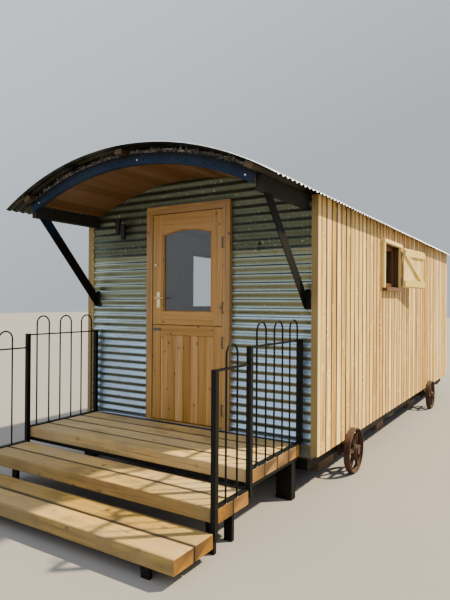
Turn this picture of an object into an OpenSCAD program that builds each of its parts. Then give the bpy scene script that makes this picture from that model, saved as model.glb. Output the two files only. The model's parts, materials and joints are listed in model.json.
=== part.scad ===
// Shepherd's hut on four iron wheels, with a bowed canopy, a split stable door,
// hoop-topped railings and a deck of squared timber sleepers.
// Millimetres. X runs across the hut, the front faces -Y and Z is up from the ground.

/* [Body] */
// outside width of the hut over its side boards
hut_width = 2679; // [2600:1:2720]
// length from the front corner posts to the rear ones
hut_length = 6170; // [5600:10:8000]
// lowest edge of the cladding above the ground
cladding_bottom = 331; // [320:1:345]
// square section of the four corner posts
post_side = 62; // [45:1:70]
// framed wall with its inner lining
wall_thickness = 100; // [80:1:120]
// boards on the two long sides
board_thickness = 20; // [16:1:25]
// pitch of those boards
board_pitch = 126; // [90:1:160]
// width of the shadow groove between two boards
board_groove = 18; // [8:1:30]
// depth of that groove
groove_depth = 10; // [4:1:12]
// top surface of the floor inside
floor_top = 440; // [430:1:445]
// floor thickness with its joists
floor_thickness = 140; // [100:1:160]
// lowest edge of the front gable's corrugated sheet
gable_bottom = 436; // [425:1:438]
// rise of the folded strip below that sheet
flashing_height = 110; // [60:1:115]

/* [Roof] */
// outer radius of the curved sheets
roof_radius = 2785; // [2770:1:2800]
// height of the arc's centre above the ground
arc_centre_z = 96; // [80:1:110]
// half width of the roof from eave to eave
eave_half_width = 1433; // [1400:1:1470]
// how far the roof reaches in front of the wall
canopy_reach = 970; // [880:5:1100]
// how far the roof reaches behind the rear wall
rear_reach = 100; // [60:5:300]
// pitch of the corrugations
wave_pitch = 76.2; // [60:0.1:130]
// depth of the corrugations
wave_depth = 18; // [12:1:20]
// thickness of the metal sheets
sheet_thickness = 3; // [2:0.5:4]
// height of the purlins under the sheets
purlin_height = 45; // [38:1:48]
// width of the purlins
purlin_width = 76; // [60:1:110]
// distance of the outer purlins from the middle
purlin_x = 1180; // [900:5:1200]
// distance of the middle purlin to the left of the middle
middle_purlin_x = 38; // [0:1:60]
// how far the purlins stay behind the sheets' front edge
purlin_set_back = 50; // [20:1:100]
// ceiling boards
ceiling_thickness = 15; // [10:1:20]
// depth from the purlins' lower face to the ceiling's lower face
ceiling_drop = 22; // [18:1:40]

/* [Canopy] */
// depth of the steel arch at the canopy's front
arch_depth = 85; // [70:1:95]
// reach of the arch's flanges
arch_flange = 42; // [25:1:60]
// thickness of the arch's steel
arch_steel = 6; // [4:1:10]
// distance of the arch's front face in front of the wall
arch_reach = 850; // [820:5:870]
// radius of the holes in the arch
arch_hole = 6; // [4:0.5:10]
// angle between two holes of a group
hole_step = 1.9; // [1.5:0.1:2.4]
// angle between two groups of holes
group_step = 7.5; // [6.5:0.1:8]
// height of the eaves beams
beam_height = 114; // [80:1:130]
// width of the eaves beams
beam_width = 60; // [40:1:80]
// distance of each beam and strut from the middle
beam_x = 1217; // [1200:1:1235]
// top of the eaves beams above the ground
beam_top = 2520; // [2500:1:2540]
// square section of the struts
strut_side = 60; // [30:1:60]
// lowest point of the struts on the wall
strut_foot_z = 1563; // [1500:1:1900]
// how far the struts reach forward
strut_reach = 760; // [500:5:790]

/* [Door] */
// width of each door leaf
leaf_width = 820; // [780:1:860]
// thickness of each door leaf
leaf_thickness = 44; // [38:1:50]
// lowest edge of the lower leaf
leaf_bottom = 455; // [452:1:470]
// middle of the gap between the two leaves
leaf_split = 1387; // [1350:1:1420]
// top edge of the upper leaf
leaf_top = 2473; // [2450:1:2480]
// gap round each leaf
leaf_gap = 6; // [5:0.5:8]
// visible width of the door frame
frame_face = 74; // [60:1:90]
// how far the door frame stands in front of the corner posts
frame_proud = 20; // [10:1:30]
// how far the stop behind the leaves reaches in from the jambs
stop_reach = 12; // [8:1:20]
// half width of the glass opening
pane_half = 280; // [250:1:290]
// lower edge of the glass opening
pane_bottom = 1519; // [1500:1:1560]
// height where the glass opening's arch springs
pane_spring = 2270; // [2200:1:2290]
// rise of that arch
pane_rise = 44; // [20:1:60]
// width of the stiles and the rail of the lower leaf
lower_stile = 95; // [80:1:120]
// boards between the lower leaf's stiles
board_count = 7; // [5:1:9]
// how far the hinge pins stand in front of the frame
pin_proud = 8; // [7:1:12]
// height of the hinge barrels
hinge_height = 84; // [60:1:120]
// width of the hinges' flaps on the leaves
hinge_flap = 14; // [12:1:50]
// distance of the lever's spindle from the middle
lever_x = 340; // [320:1:360]
// height of the lever's spindle
lever_z = 1650; // [1620:1:1670]
// length of the lever's grip
lever_grip = 88; // [70:1:110]
// height of the long plate behind the lever
plate_height = 160; // [120:1:200]
// width of that plate
plate_width = 40; // [32:1:50]
// height of the small knob above the lever
knob_z = 1978; // [1850:1:2050]

/* [Side windows] */
// centre of each window behind the front wall
window_y = 2290; // [1200:5:4500]
// clear width inside the casing
window_width = 710; // [600:5:800]
// lower edge of the clear opening
window_bottom = 1800; // [1700:5:1850]
// clear width of the larger window on the left
left_window_width = 845; // [700:5:900]
// lower edge of that window's clear opening
left_window_bottom = 1500; // [1450:5:1850]
// upper edge of the clear opening
window_top = 2305; // [2200:5:2320]
// width of the upright casing boards
casing_width = 50; // [40:1:70]
// height of the casing's head board
casing_head = 40; // [30:1:70]
// how far the casing stands out of the boards
casing_proud = 35; // [25:1:50]
// width of the inner frame round the pane
sash_face = 55; // [40:1:70]
// distance of that frame behind the wall's outer face
sash_set_back = 40; // [20:1:50]
// angle between an open shutter and the wall
shutter_stand_off = 7.5; // [5:0.5:60]
// height of the sill's front edge
sill_lip = 46; // [16:1:50]
// thickness of the shutter's boards
shutter_board = 18; // [14:1:22]
// thickness of the shutter's ledges and brace
shutter_ledge = 20; // [14:1:22]
// height of the shutter's ledges
ledge_height = 80; // [60:1:100]
// width of the shutter's brace, measured level
brace_width = 115; // [80:1:150]

/* [Running gear] */
// wheel diameter
wheel_diameter = 420; // [410:5:440]
// width of the wheel rims
wheel_width = 60; // [45:1:62]
// thickness of the wheel rims
rim_thickness = 12; // [8:1:20]
// spokes in each wheel
spoke_count = 6; // [4:1:8]
// front wheels behind the front wall
front_wheel_y = 820; // [600:10:1200]
// rear wheels behind the front wall
rear_wheel_y = 4490; // [3800:10:4600]
// inner face of each wheel from the middle of the hut
wheel_inner_x = 1348; // [1347:1:1352]
// radius of the stub axles
stub_radius = 25; // [18:1:30]
// height of the chassis rails
chassis_height = 100; // [80:1:120]
// half width of the chassis over its rails
chassis_half = 1240; // [1200:1:1250]
// width of the chassis rails
chassis_rail = 50; // [40:1:70]
// width of the crossbars
crossbar_width = 60; // [40:1:80]
// inner face of the piers from the middle
pier_inner = 860; // [700:5:900]
// outer face of the piers from the middle
pier_outer = 1090; // [1000:5:1120]
// length of the shorter piers along the hut
pier_length = 300; // [200:5:300]
// length of the longer piers along the hut
long_pier = 400; // [300:5:450]
// packers between the piers and the chassis
packer_thickness = 20; // [10:1:40]

/* [Deck and steps] */
// length of the sleepers across the hut
sleeper_length = 2400; // [2380:1:2420]
// width of one sleeper
sleeper_width = 198; // [190:1:200]
// thickness of one sleeper
sleeper_thickness = 95; // [85:1:100]
// gap between neighbouring sleepers
sleeper_gap = 8; // [4:1:12]
// planed edge of the sleepers
sleeper_chamfer = 7; // [3:1:12]
// walking surface of the deck
deck_top = 432; // [425:1:440]
// front edge of the deck in front of the wall
deck_reach = 868; // [860:1:880]
// walking surface of the middle step
middle_top = 304; // [295:1:310]
// front edge of the middle step
middle_reach = 1313; // [1300:1:1330]
// walking surface of the bottom step
bottom_top = 169; // [160:1:175]
// front edge of the bottom step
bottom_reach = 1757; // [1740:1:1790]
// height of the steel bearers under the sleepers
bearer_height = 30; // [20:1:40]
// width of those bearers
bearer_width = 45; // [30:1:60]
// outer face of the deck's bearers and legs from the middle
bearer_half = 1189; // [1150:1:1195]
// width of the deck's two wide legs
wide_leg = 140; // [100:1:160]
// depth of the deck's two wide legs
wide_leg_depth = 75; // [50:1:100]
// width of the other legs
narrow_leg = 64; // [50:1:80]
// depth of the other legs
narrow_leg_depth = 30; // [20:1:50]

/* [Railings] */
// distance of each railing from the middle
rail_x = 1192; // [1185:1:1210]
// square section of the railing posts
rail_post = 36; // [30:1:50]
// top of the posts beside the deck
rail_top = 1305; // [1250:5:1400]
// top of the hoops beside the deck
hoop_top = 1475; // [1400:5:1550]
// top of the posts beside the steps
step_rail_top = 1186; // [1150:1:1240]
// top of the hoops beside the steps
step_hoop_top = 1343; // [1300:1:1400]
// distance between the two legs of a hoop
hoop_width = 142; // [120:1:160]
// pitch of the hoops beside the deck
hoop_pitch = 278; // [260:1:290]
// radius of the round hoop bars
hoop_bar = 7; // [5:0.5:9]
// thickness of the flat rails
flat_rail = 10; // [6:1:14]
// width of the flat rails
flat_width = 44; // [36:1:50]

/* [Wall light and hook] */
// radius of the two tubes of the light
tube_radius = 30; // [22:1:35]
// height of each tube
tube_height = 158; // [120:1:200]
// distance of the outer tube from the middle
tube_x = 855; // [700:1:900]
// lowest edge of the outer tube
tube_z = 2315; // [2280:1:2330]
// distance of the hanging hook from the middle
hook_x = 777; // [700:1:900]
// height of the hook's staple
hook_z = 2136; // [2000:1:2200]

// node to draw, or all

/* [Hidden] */

$fn = 48;
// steps of the large arcs, of small bars and of one corrugation
arc_steps = 360;
bar_steps = 24;
wave_step = wave_pitch / 6;

// the origin is the middle of the whole outline, so the hut's front wall stands at front_y
front_y = -(hut_length + rear_reach - bottom_reach) / 2;

half_width = hut_width / 2;
wall_outer_x = half_width - board_thickness;
wall_inner_x = wall_outer_x - wall_thickness;
gable_half = half_width - post_side;
sheet_back_y = 30;
sheet_face_y = sheet_back_y - wave_depth;
sole_front_y = sheet_face_y + 1;
wall_front_y = sheet_back_y;
wall_back_y = wall_front_y + wall_thickness;
rear_inner_y = hut_length - wall_back_y;
rear_sheet_y = hut_length - sheet_back_y;

roof_inner = roof_radius - wave_depth;
purlin_inner = roof_inner - purlin_height;
arch_outer = purlin_inner;
arch_inner = arch_outer - arch_depth;
ceiling_inner = arch_outer - ceiling_drop;
roof_top = roof_radius + arc_centre_z;
roof_half_angle = asin(eave_half_width / roof_radius);
arch_half_angle = asin(beam_x / arch_outer);
purlin_leans = [for (x = [-purlin_x, -middle_purlin_x, purlin_x]) asin(x / purlin_inner)];
hole_groups = [-2.5 : 2.5];

door_half = leaf_width / 2 + leaf_gap;
frame_half = door_half + frame_face;
frame_top = leaf_top + leaf_gap + frame_face;
frame_front_y = -frame_proud;
leaf_front_y = frame_front_y + 8;
leaf_back_y = leaf_front_y + leaf_thickness;
half_gap = leaf_gap / 2;
threshold_top = leaf_bottom - leaf_gap;
pin_x = leaf_width / 2 + half_gap;
pin_y = frame_front_y - pin_proud;
pin_radius = 6;
lug_height = 11;
upper_hinges = [2160, 1560];
lower_hinges = [1240, 620];

casing_face_x = half_width + casing_proud;
sash_face_x = wall_outer_x - sash_set_back;
sash_depth = 40;
window_high_y = window_y + window_width / 2;
joiner_gap = 0.5;
pin_inset = 2.5;
shutter_pin_x = casing_face_x + pin_proud;
shutter_pin_y = window_high_y - pin_inset;
shutter_barrel = 30;
hinge_margin = 90;
// the wider left shutter reaches out as far as the right one
shutter_depth = pin_proud + shutter_board + shutter_ledge;
right_span = window_width - leaf_gap - pin_inset;
left_span = left_window_width - leaf_gap - pin_inset;
shutter_reach = right_span * sin(shutter_stand_off) + shutter_depth * cos(shutter_stand_off);
left_stand_off = asin(shutter_reach / sqrt(left_span ^ 2 + shutter_depth ^ 2))
    - atan(shutter_depth / left_span);

chassis_top = floor_top - floor_thickness;
chassis_bottom = chassis_top - chassis_height;
wheel_radius = wheel_diameter / 2;
crossbar_places = [wall_front_y, front_wheel_y - crossbar_width / 2, 2650, rear_wheel_y - crossbar_width / 2,
    rear_sheet_y - crossbar_width];
piers = [[655, long_pier], [2600, pier_length], [4310, long_pier], [hut_length - 420, pier_length]];

sleeper_pitch = sleeper_width + sleeper_gap;
deck_depth = 4 * sleeper_pitch - sleeper_gap;
step_depth = 2 * sleeper_pitch - sleeper_gap;
under_deck = deck_top - sleeper_thickness;
under_middle = middle_top - sleeper_thickness;
under_bottom = bottom_top - sleeper_thickness;
// outer faces of the steps' legs from the middle, and where the legs and crossbars stand
bottom_half = 1013;
middle_half = 1163;
wide_leg_y = -176;
middle_legs_y = [-1290, -1068];
bottom_legs_y = [-1744, -1420];
middle_crossbar_y = -1150;
bottom_crossbar_y = -1600;
crossbar_depth = 40;
rear_post_y = -21.5;
middle_post_y = -deck_reach - rail_post / 2;
front_post_y = -middle_reach - rail_post / 2;

steel_dark = [0.09, 0.09, 0.1];
rust_iron = [0.3, 0.19, 0.13];
pale_timber = [0.8, 0.66, 0.42];
pine_orange = [0.66, 0.41, 0.2];
brown_stain = [0.16, 0.1, 0.08];
red_stain = [0.35, 0.16, 0.1];
zinc_grey = [0.62, 0.65, 0.68];
brass_gold = [0.8, 0.64, 0.3];
clear_glass = [0.2, 0.25, 0.27, 0.5];

// places a part that is drawn from the front wall's face
module at_hut() {
    translate([0, front_y, 0]) children();
}

// a box given by its lowest and highest corner
module span_box(low, high) {
    translate(low) cube(high - low);
}

// both sides of the hut, mirrored about its middle
module both_sides() {
    children();
    mirror([1, 0, 0]) children();
}

// an outline in Y and Z, made into a bar along X
module along_x(low_x, high_x) {
    translate([low_x, 0, 0])
        rotate([90, 0, 90])
            linear_extrude(height = high_x - low_x)
                children();
}

// an outline in X and Z, made into a bar along Y
module along_y(low_y, high_y) {
    translate([0, high_y, 0])
        rotate([90, 0, 0])
            linear_extrude(height = high_y - low_y)
                children();
}

// turns a part about the roof's axis
module about_roof_axis(angle) {
    translate([0, 0, arc_centre_z])
        rotate([0, angle, 0])
            children();
}

// an outline of radius and depth, swept about the roof's axis from the front face on
module swept_arc(half_angle, front) {
    translate([0, front, arc_centre_z])
        rotate([-90, 0, 0])
            rotate_extrude(start = 270 - half_angle, angle = 2 * half_angle, $fn = arc_steps)
                children();
}

// a curved band about the roof's axis
module arc_band(inner, outer, half_angle, front, back) {
    swept_arc(half_angle, front)
        translate([inner, 0])
            square([outer - inner, back - front]);
}

// keeps what lies under an arc about the roof's axis
module under_arc(radius) {
    intersection() {
        translate([0, -canopy_reach, arc_centre_z])
            rotate([-90, 0, 0])
                cylinder(r = radius, h = hut_length + 2 * canopy_reach, $fn = arc_steps);
        children();
    }
}

// outline of a corrugated sheet: its length first, its depth second
function wave_at(place) = (wave_depth - sheet_thickness) / 2 * (1 + cos(360 * place / wave_pitch));
function wave_places(length) = concat([for (k = [0 : ceil(length / wave_step) - 1]) k * wave_step], [length]);
function wave_edge(length, lift) = [for (place = wave_places(length)) [place, wave_at(place) + lift]];
function reversed(list) = [for (k = [len(list) - 1 : -1 : 0]) list[k]];

module wave_section(length) {
    polygon(concat(wave_edge(length, 0), reversed(wave_edge(length, sheet_thickness))));
}

// a flat sheet whose corrugations run across the hut
module gable_sheet(low_z, face_y) {
    translate([0, face_y, low_z])
        rotate([0, -90, 0])
            linear_extrude(height = 2 * gable_half - 2, center = true)
                wave_section(roof_top - low_z);
}

// the room's shell: a joisted floor, a board under the walls, and the walls on it
module floor() {
    color(pine_orange) at_hut() {
        span_box([-wall_inner_x, wall_back_y, chassis_top], [wall_inner_x, rear_inner_y, floor_top]);
        span_box([-frame_half, wall_front_y, chassis_top], [frame_half, wall_back_y, floor_top]);
        span_box([-gable_half, sole_front_y, chassis_top],
            [gable_half, hut_length - sole_front_y, cladding_bottom]);
    }
}

module front_wall_right() {
    color(pale_timber) at_hut()
        under_arc(ceiling_inner)
            span_box([frame_half, wall_front_y, cladding_bottom], [gable_half, wall_back_y, roof_radius]);
}

module front_wall_left() {
    mirror([1, 0, 0]) front_wall_right();
}

module front_wall_top() {
    color(pale_timber) at_hut()
        under_arc(ceiling_inner)
            span_box([-frame_half, wall_front_y, frame_top], [frame_half, wall_back_y, roof_top]);
}

module rear_wall() {
    color(pale_timber) at_hut()
        under_arc(ceiling_inner)
            span_box([-gable_half, rear_inner_y, cladding_bottom], [gable_half, rear_sheet_y, roof_top]);
}

// the clear opening of a side window, cut through a wall
module window_hole(width, bottom) {
    span_box([wall_inner_x - 10, window_high_y - width, bottom], [casing_face_x, window_high_y, window_top]);
}

module side_wall(width, bottom) {
    color(pale_timber) at_hut()
        difference() {
            under_arc(ceiling_inner)
                union() {
                    span_box([wall_inner_x, wall_back_y, cladding_bottom],
                        [wall_outer_x, rear_inner_y, roof_radius]);
                    span_box([gable_half, post_side, cladding_bottom],
                        [wall_outer_x, hut_length - post_side, roof_radius]);
                }
            window_hole(width, bottom);
        }
}

module right_wall() {
    side_wall(window_width, window_bottom);
}

module left_wall() {
    mirror([1, 0, 0]) side_wall(left_window_width, left_window_bottom);
}

// rebated boards, seen from above, with a shadow groove after each one
module board_outline() {
    first = post_side;
    last = hut_length - post_side;
    count = round((last - first) / board_pitch);
    pitch = (last - first) / count;
    difference() {
        translate([wall_outer_x, first]) square([board_thickness, last - first]);
        for (k = [1 : count - 1])
            translate([half_width - groove_depth, first + k * pitch - board_groove / 2])
                square([2 * groove_depth, board_groove]);
    }
}

module boarded_side(width, bottom) {
    difference() {
        under_arc(roof_inner - 2)
            translate([0, 0, cladding_bottom])
                linear_extrude(height = roof_radius)
                    board_outline();
        window_hole(width, bottom);
    }
}

module side_boards() {
    color(pale_timber) at_hut() {
        boarded_side(window_width, window_bottom);
        mirror([1, 0, 0]) boarded_side(left_window_width, left_window_bottom);
    }
}

module corner_posts() {
    color(pale_timber) at_hut() both_sides()
        under_arc(roof_inner - 2)
            for (y = [0, hut_length - post_side])
                span_box([gable_half, y, cladding_bottom], [half_width, y + post_side, roof_radius]);
}

module gable_sheets() {
    color(zinc_grey) at_hut() {
        difference() {
            under_arc(ceiling_inner - 1) gable_sheet(gable_bottom, sheet_face_y);
            span_box([-frame_half, -post_side, gable_bottom - 10], [frame_half, post_side, frame_top]);
        }
        under_arc(purlin_inner - 1) gable_sheet(cladding_bottom, rear_sheet_y);
    }
}

// folded strip that closes the wall's foot below the front sheet
module sill_flashing() {
    low_z = gable_bottom - flashing_height;
    fold = sheet_thickness;
    front = sheet_face_y - fold;
    lip = 8;
    color(zinc_grey) at_hut()
        along_x(-gable_half, gable_half)
            polygon([[sheet_back_y, gable_bottom], [front, gable_bottom], [front, low_z],
                [front - lip, low_z - lip], [sheet_face_y - lip, low_z - lip - fold], [sheet_face_y, low_z],
                [sheet_face_y, gable_bottom - fold], [sheet_back_y, gable_bottom - fold]]);
}

// roof from inside to outside
module ceiling_layer(inner, outer) {
    narrow = asin((beam_x - beam_width / 2 - 2) / outer);
    wide = asin((wall_outer_x - 1) / outer);
    arc_band(inner, outer, narrow, arch_flange - arch_reach, post_side);
    arc_band(inner, outer, wide, post_side, hut_length - post_side);
}

module ceiling() {
    color(pine_orange) at_hut() ceiling_layer(ceiling_inner, ceiling_inner + ceiling_thickness);
}

// the purlins, wider all round by a margin
module purlin_bars(margin) {
    half = purlin_width / 2 + margin;
    for (lean = purlin_leans)
        about_roof_axis(lean)
            span_box([-half, purlin_set_back - canopy_reach - margin, purlin_inner + 1 - margin],
                [half, hut_length + rear_reach - purlin_set_back + margin, roof_inner - 1 + margin]);
}

// wool above the ceiling and in the bays between the purlins
module roof_insulation() {
    color(zinc_grey) at_hut()
        difference() {
            ceiling_layer(ceiling_inner + ceiling_thickness, roof_inner - 3);
            purlin_bars(1);
        }
}

module purlins() {
    color(pale_timber) at_hut() purlin_bars(0);
}

module roof_sheets() {
    color(zinc_grey) at_hut()
        swept_arc(roof_half_angle, -canopy_reach)
            translate([roof_inner, 0])
                mirror([1, -1])
                    wave_section(hut_length + canopy_reach + rear_reach);
}

// channel rolled to the roof's curve, with groups of three holes
module front_arch() {
    hole_radius_at = arch_inner + arch_depth * 0.42;
    color([0.08, 0.2, 0.36]) at_hut()
        difference() {
            swept_arc(arch_half_angle, -arch_reach)
                translate([arch_inner, 0])
                    polygon([[0, 0], [arch_depth, 0], [arch_depth, arch_flange],
                        [arch_depth - arch_steel, arch_flange], [arch_depth - arch_steel, arch_steel],
                        [arch_steel, arch_steel], [arch_steel, arch_flange], [0, arch_flange]]);
            for (group = hole_groups, hole = [-1 : 1])
                about_roof_axis(group * group_step + hole * hole_step)
                    translate([0, -arch_reach - 1, hole_radius_at])
                        rotate([-90, 0, 0])
                            cylinder(r = arch_hole, h = arch_steel + 2);
        }
}

module eaves_beams() {
    color(brown_stain) at_hut() both_sides()
        under_arc(purlin_inner)
            span_box([beam_x - beam_width / 2, arch_flange - arch_reach, beam_top - beam_height],
                [beam_x + beam_width / 2, sheet_face_y, beam_top]);
}

module canopy_struts() {
    head_z = beam_top - beam_height;
    slope = atan((head_z - strut_foot_z) / (strut_reach + sheet_face_y));
    color(brown_stain) at_hut() both_sides()
        along_x(beam_x - strut_side / 2, beam_x + strut_side / 2)
            polygon([[sheet_face_y, strut_foot_z], [sheet_face_y, strut_foot_z + strut_side / cos(slope)],
                [strut_side / sin(slope) - strut_reach, head_z], [-strut_reach, head_z]]);
}

// door hinges: lugs on the frame above and below a barrel on the leaf
module hinge_lugs(middle) {
    for (z = [middle - hinge_height / 2 - lug_height - 0.5, middle + hinge_height / 2 + 0.5])
        translate([0, 0, z]) {
            translate([pin_x, pin_y, 0]) cylinder(r = pin_radius, h = lug_height);
            span_box([pin_x + 3, pin_y - 3, 0], [pin_x + 16, frame_front_y + 1, lug_height]);
        }
}

module hinge_barrel(middle) {
    low = middle - hinge_height / 2;
    high = middle + hinge_height / 2;
    translate([pin_x, pin_y, low]) cylinder(r = pin_radius, h = hinge_height);
    span_box([pin_x - pin_radius, pin_y, low], [pin_x - 1, leaf_front_y, high]);
    span_box([pin_x - hinge_flap, leaf_front_y - 4, low], [pin_x - 1, leaf_front_y, high]);
}

// jambs, head and a sloped threshold, with a stop behind the leaves
module door_frame() {
    stop_y = leaf_back_y + 5;
    color(pine_orange) at_hut() {
        both_sides() {
            span_box([door_half, frame_front_y, floor_top], [frame_half, wall_back_y, frame_top]);
            span_box([door_half - stop_reach, stop_y, floor_top], [door_half, wall_back_y, frame_top]);
        }
        span_box([-door_half, frame_front_y, leaf_top + leaf_gap], [door_half, wall_back_y, frame_top]);
        span_box([-door_half, stop_y, leaf_top + leaf_gap - stop_reach], [door_half, wall_back_y, frame_top]);
        along_x(-door_half, door_half)
            polygon([[frame_front_y - 6, floor_top], [wall_back_y, floor_top], [wall_back_y, threshold_top],
                [leaf_front_y, threshold_top], [frame_front_y - 6, threshold_top - 5]]);
        for (middle = concat(upper_hinges, lower_hinges))
            hinge_lugs(middle);
    }
}

// the glass opening's outline in X and Z, wider all round by a margin
module pane_outline(margin) {
    half = pane_half + margin;
    crown = pane_spring + pane_rise + margin;
    crown_radius = (pane_half * pane_half + pane_rise * pane_rise) / (2 * pane_rise) + margin;
    intersection() {
        translate([-half, pane_bottom - margin]) square([2 * half, crown - pane_bottom + margin]);
        translate([0, crown - crown_radius]) circle(r = crown_radius, $fn = arc_steps);
    }
}

module upper_leaf() {
    bead = 12;
    panel_line = 24;
    color(pine_orange) at_hut()
        difference() {
            span_box([-leaf_width / 2, leaf_front_y, leaf_split + half_gap],
                [leaf_width / 2, leaf_back_y, leaf_top]);
            along_y(leaf_front_y - 1, leaf_back_y + 1) pane_outline(0);
            along_y(leaf_front_y - 1, leaf_front_y + 6) pane_outline(bead);
            for (side = [-1, 1])
                translate([side * (pane_half + panel_line), leaf_front_y, 0])
                    span_box([-1.5, -1, pane_bottom - 78], [1.5, 3, pane_spring + 92]);
        }
}

module upper_pane() {
    middle_y = (leaf_front_y + leaf_back_y) / 2;
    color(clear_glass) at_hut()
        along_y(middle_y - 3, middle_y + 3) pane_outline(0);
}

// long plate with round ends, a keyhole boss, and a knob above
module upper_fittings() {
    plate_half = plate_height / 2 - plate_width / 2;
    plate_z = lever_z - 20;
    boss_z = plate_z - plate_half + 2;
    color(brass_gold) at_hut() {
        difference() {
            union() {
                along_y(leaf_front_y - 4, leaf_front_y)
                    translate([-lever_x, plate_z]) {
                        square([plate_width, 2 * plate_half], center = true);
                        for (end = [-1, 1])
                            translate([0, end * plate_half]) circle(r = plate_width / 2);
                    }
                along_y(leaf_front_y - 9, leaf_front_y)
                    translate([-lever_x, boss_z]) circle(r = 9);
            }
            along_y(leaf_front_y - 5, leaf_front_y + 1)
                translate([-lever_x, lever_z]) circle(r = 11);
        }
        translate([-lever_x - 22, leaf_front_y, knob_z])
            rotate([90, 0, 0])
                rotate_extrude()
                    polygon([[0, 0], [14, 0], [14, 3], [7, 5], [7, 12], [13, 17], [11, 24], [0, 26]]);
        for (middle = upper_hinges)
            hinge_barrel(middle);
    }
}

module door_lever() {
    neck = 52;
    color(brass_gold) at_hut()
        translate([-lever_x, leaf_front_y - 0.5, lever_z])
            rotate([90, 0, 0]) {
                cylinder(r = 10, h = 12);
                cylinder(r = 7.5, h = neck);
                translate([0, 0, neck - 8]) {
                    rotate([0, 90, 0]) cylinder(r = 8, h = lever_grip);
                    translate([lever_grip, 0, 0]) sphere(r = 8);
                    sphere(r = 10);
                }
            }
}

// framed leaf with V-jointed boards between its stiles
module lower_leaf() {
    top = leaf_split - half_gap;
    board_half = leaf_width / 2 - lower_stile;
    pitch = 2 * board_half / board_count;
    recess = 7;
    vee = 5;
    color(pine_orange) at_hut()
        difference() {
            span_box([-leaf_width / 2, leaf_front_y, leaf_bottom], [leaf_width / 2, leaf_back_y, top]);
            span_box([-board_half, leaf_front_y - 1, leaf_bottom - 1],
                [board_half, leaf_front_y + recess, top - lower_stile]);
            for (k = [0 : board_count])
                translate([k * pitch - board_half, leaf_front_y + recess, leaf_bottom - 1])
                    linear_extrude(height = top - lower_stile - leaf_bottom + 1)
                        polygon([[-vee, -0.1], [vee, -0.1], [0, vee]]);
        }
}

module lower_fittings() {
    bolt_z = leaf_split - 47;
    color(brass_gold) at_hut() {
        span_box([-398, leaf_front_y - 3, bolt_z - 14], [-308, leaf_front_y, bolt_z + 14]);
        translate([-402, leaf_front_y - 9, bolt_z]) rotate([0, 90, 0]) cylinder(r = 6.5, h = 92);
        translate([-330, leaf_front_y - 9, bolt_z]) rotate([90, 0, 0]) cylinder(r = 4, h = 16);
        for (middle = lower_hinges)
            hinge_barrel(middle);
    }
}

// side windows: casing boards with the shutter's hinge lugs
module window_casing(width, bottom) {
    low_y = window_high_y - width;
    low_z = bottom - 10;
    drip = 6;
    span_box([half_width, low_y - casing_width, low_z], [casing_face_x, low_y, window_top - joiner_gap]);
    span_box([half_width, window_high_y, low_z],
        [casing_face_x, window_high_y + casing_width, window_top - joiner_gap]);
    span_box([half_width, low_y - casing_width - drip, window_top],
        [casing_face_x + drip, window_high_y + casing_width + drip, window_top + casing_head]);
    for (middle = [bottom + hinge_margin, window_top - hinge_margin], end = [-1, 1])
        translate([shutter_pin_x, shutter_pin_y, middle + end * (shutter_barrel + 7) - 6]) {
            cylinder(r = pin_radius, h = 12);
            span_box([-pin_proud - 1, 3, 0], [3, 14, 12]);
        }
}

module window_casings() {
    color(pale_timber) at_hut() {
        window_casing(window_width, window_bottom);
        mirror([1, 0, 0]) window_casing(left_window_width, left_window_bottom);
    }
}

module window_frame(width, bottom) {
    low_y = window_high_y - width;
    difference() {
        span_box([sash_face_x - sash_depth, low_y, bottom], [sash_face_x, window_high_y, window_top]);
        span_box([sash_face_x - sash_depth - 1, low_y + sash_face, bottom + sash_face],
            [sash_face_x + 1, window_high_y - sash_face, window_top - sash_face]);
    }
}

module window_frames() {
    color(red_stain) at_hut() {
        window_frame(window_width, window_bottom);
        mirror([1, 0, 0]) window_frame(left_window_width, left_window_bottom);
    }
}

// sloped sill that reaches out past the casing
module window_sill(width, bottom) {
    reach = casing_face_x + 18;
    sill_fall = 8;
    along_y(window_high_y - width + joiner_gap, window_high_y - joiner_gap)
        polygon([[sash_face_x, bottom], [half_width, bottom], [half_width, bottom - sill_lip],
            [reach, bottom - sill_lip], [reach, bottom], [sash_face_x, bottom + sill_fall]]);
}

module window_sills() {
    color(red_stain) at_hut() {
        window_sill(window_width, window_bottom);
        mirror([1, 0, 0]) window_sill(left_window_width, left_window_bottom);
    }
}

module window_pane(width, bottom) {
    middle_x = sash_face_x - sash_depth / 2;
    span_box([middle_x - 3, window_high_y - width + sash_face, bottom + sash_face],
        [middle_x + 3, window_high_y - sash_face, window_top - sash_face]);
}

module window_panes() {
    color(clear_glass) at_hut() {
        window_pane(window_width, window_bottom);
        mirror([1, 0, 0]) window_pane(left_window_width, left_window_bottom);
    }
}

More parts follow.
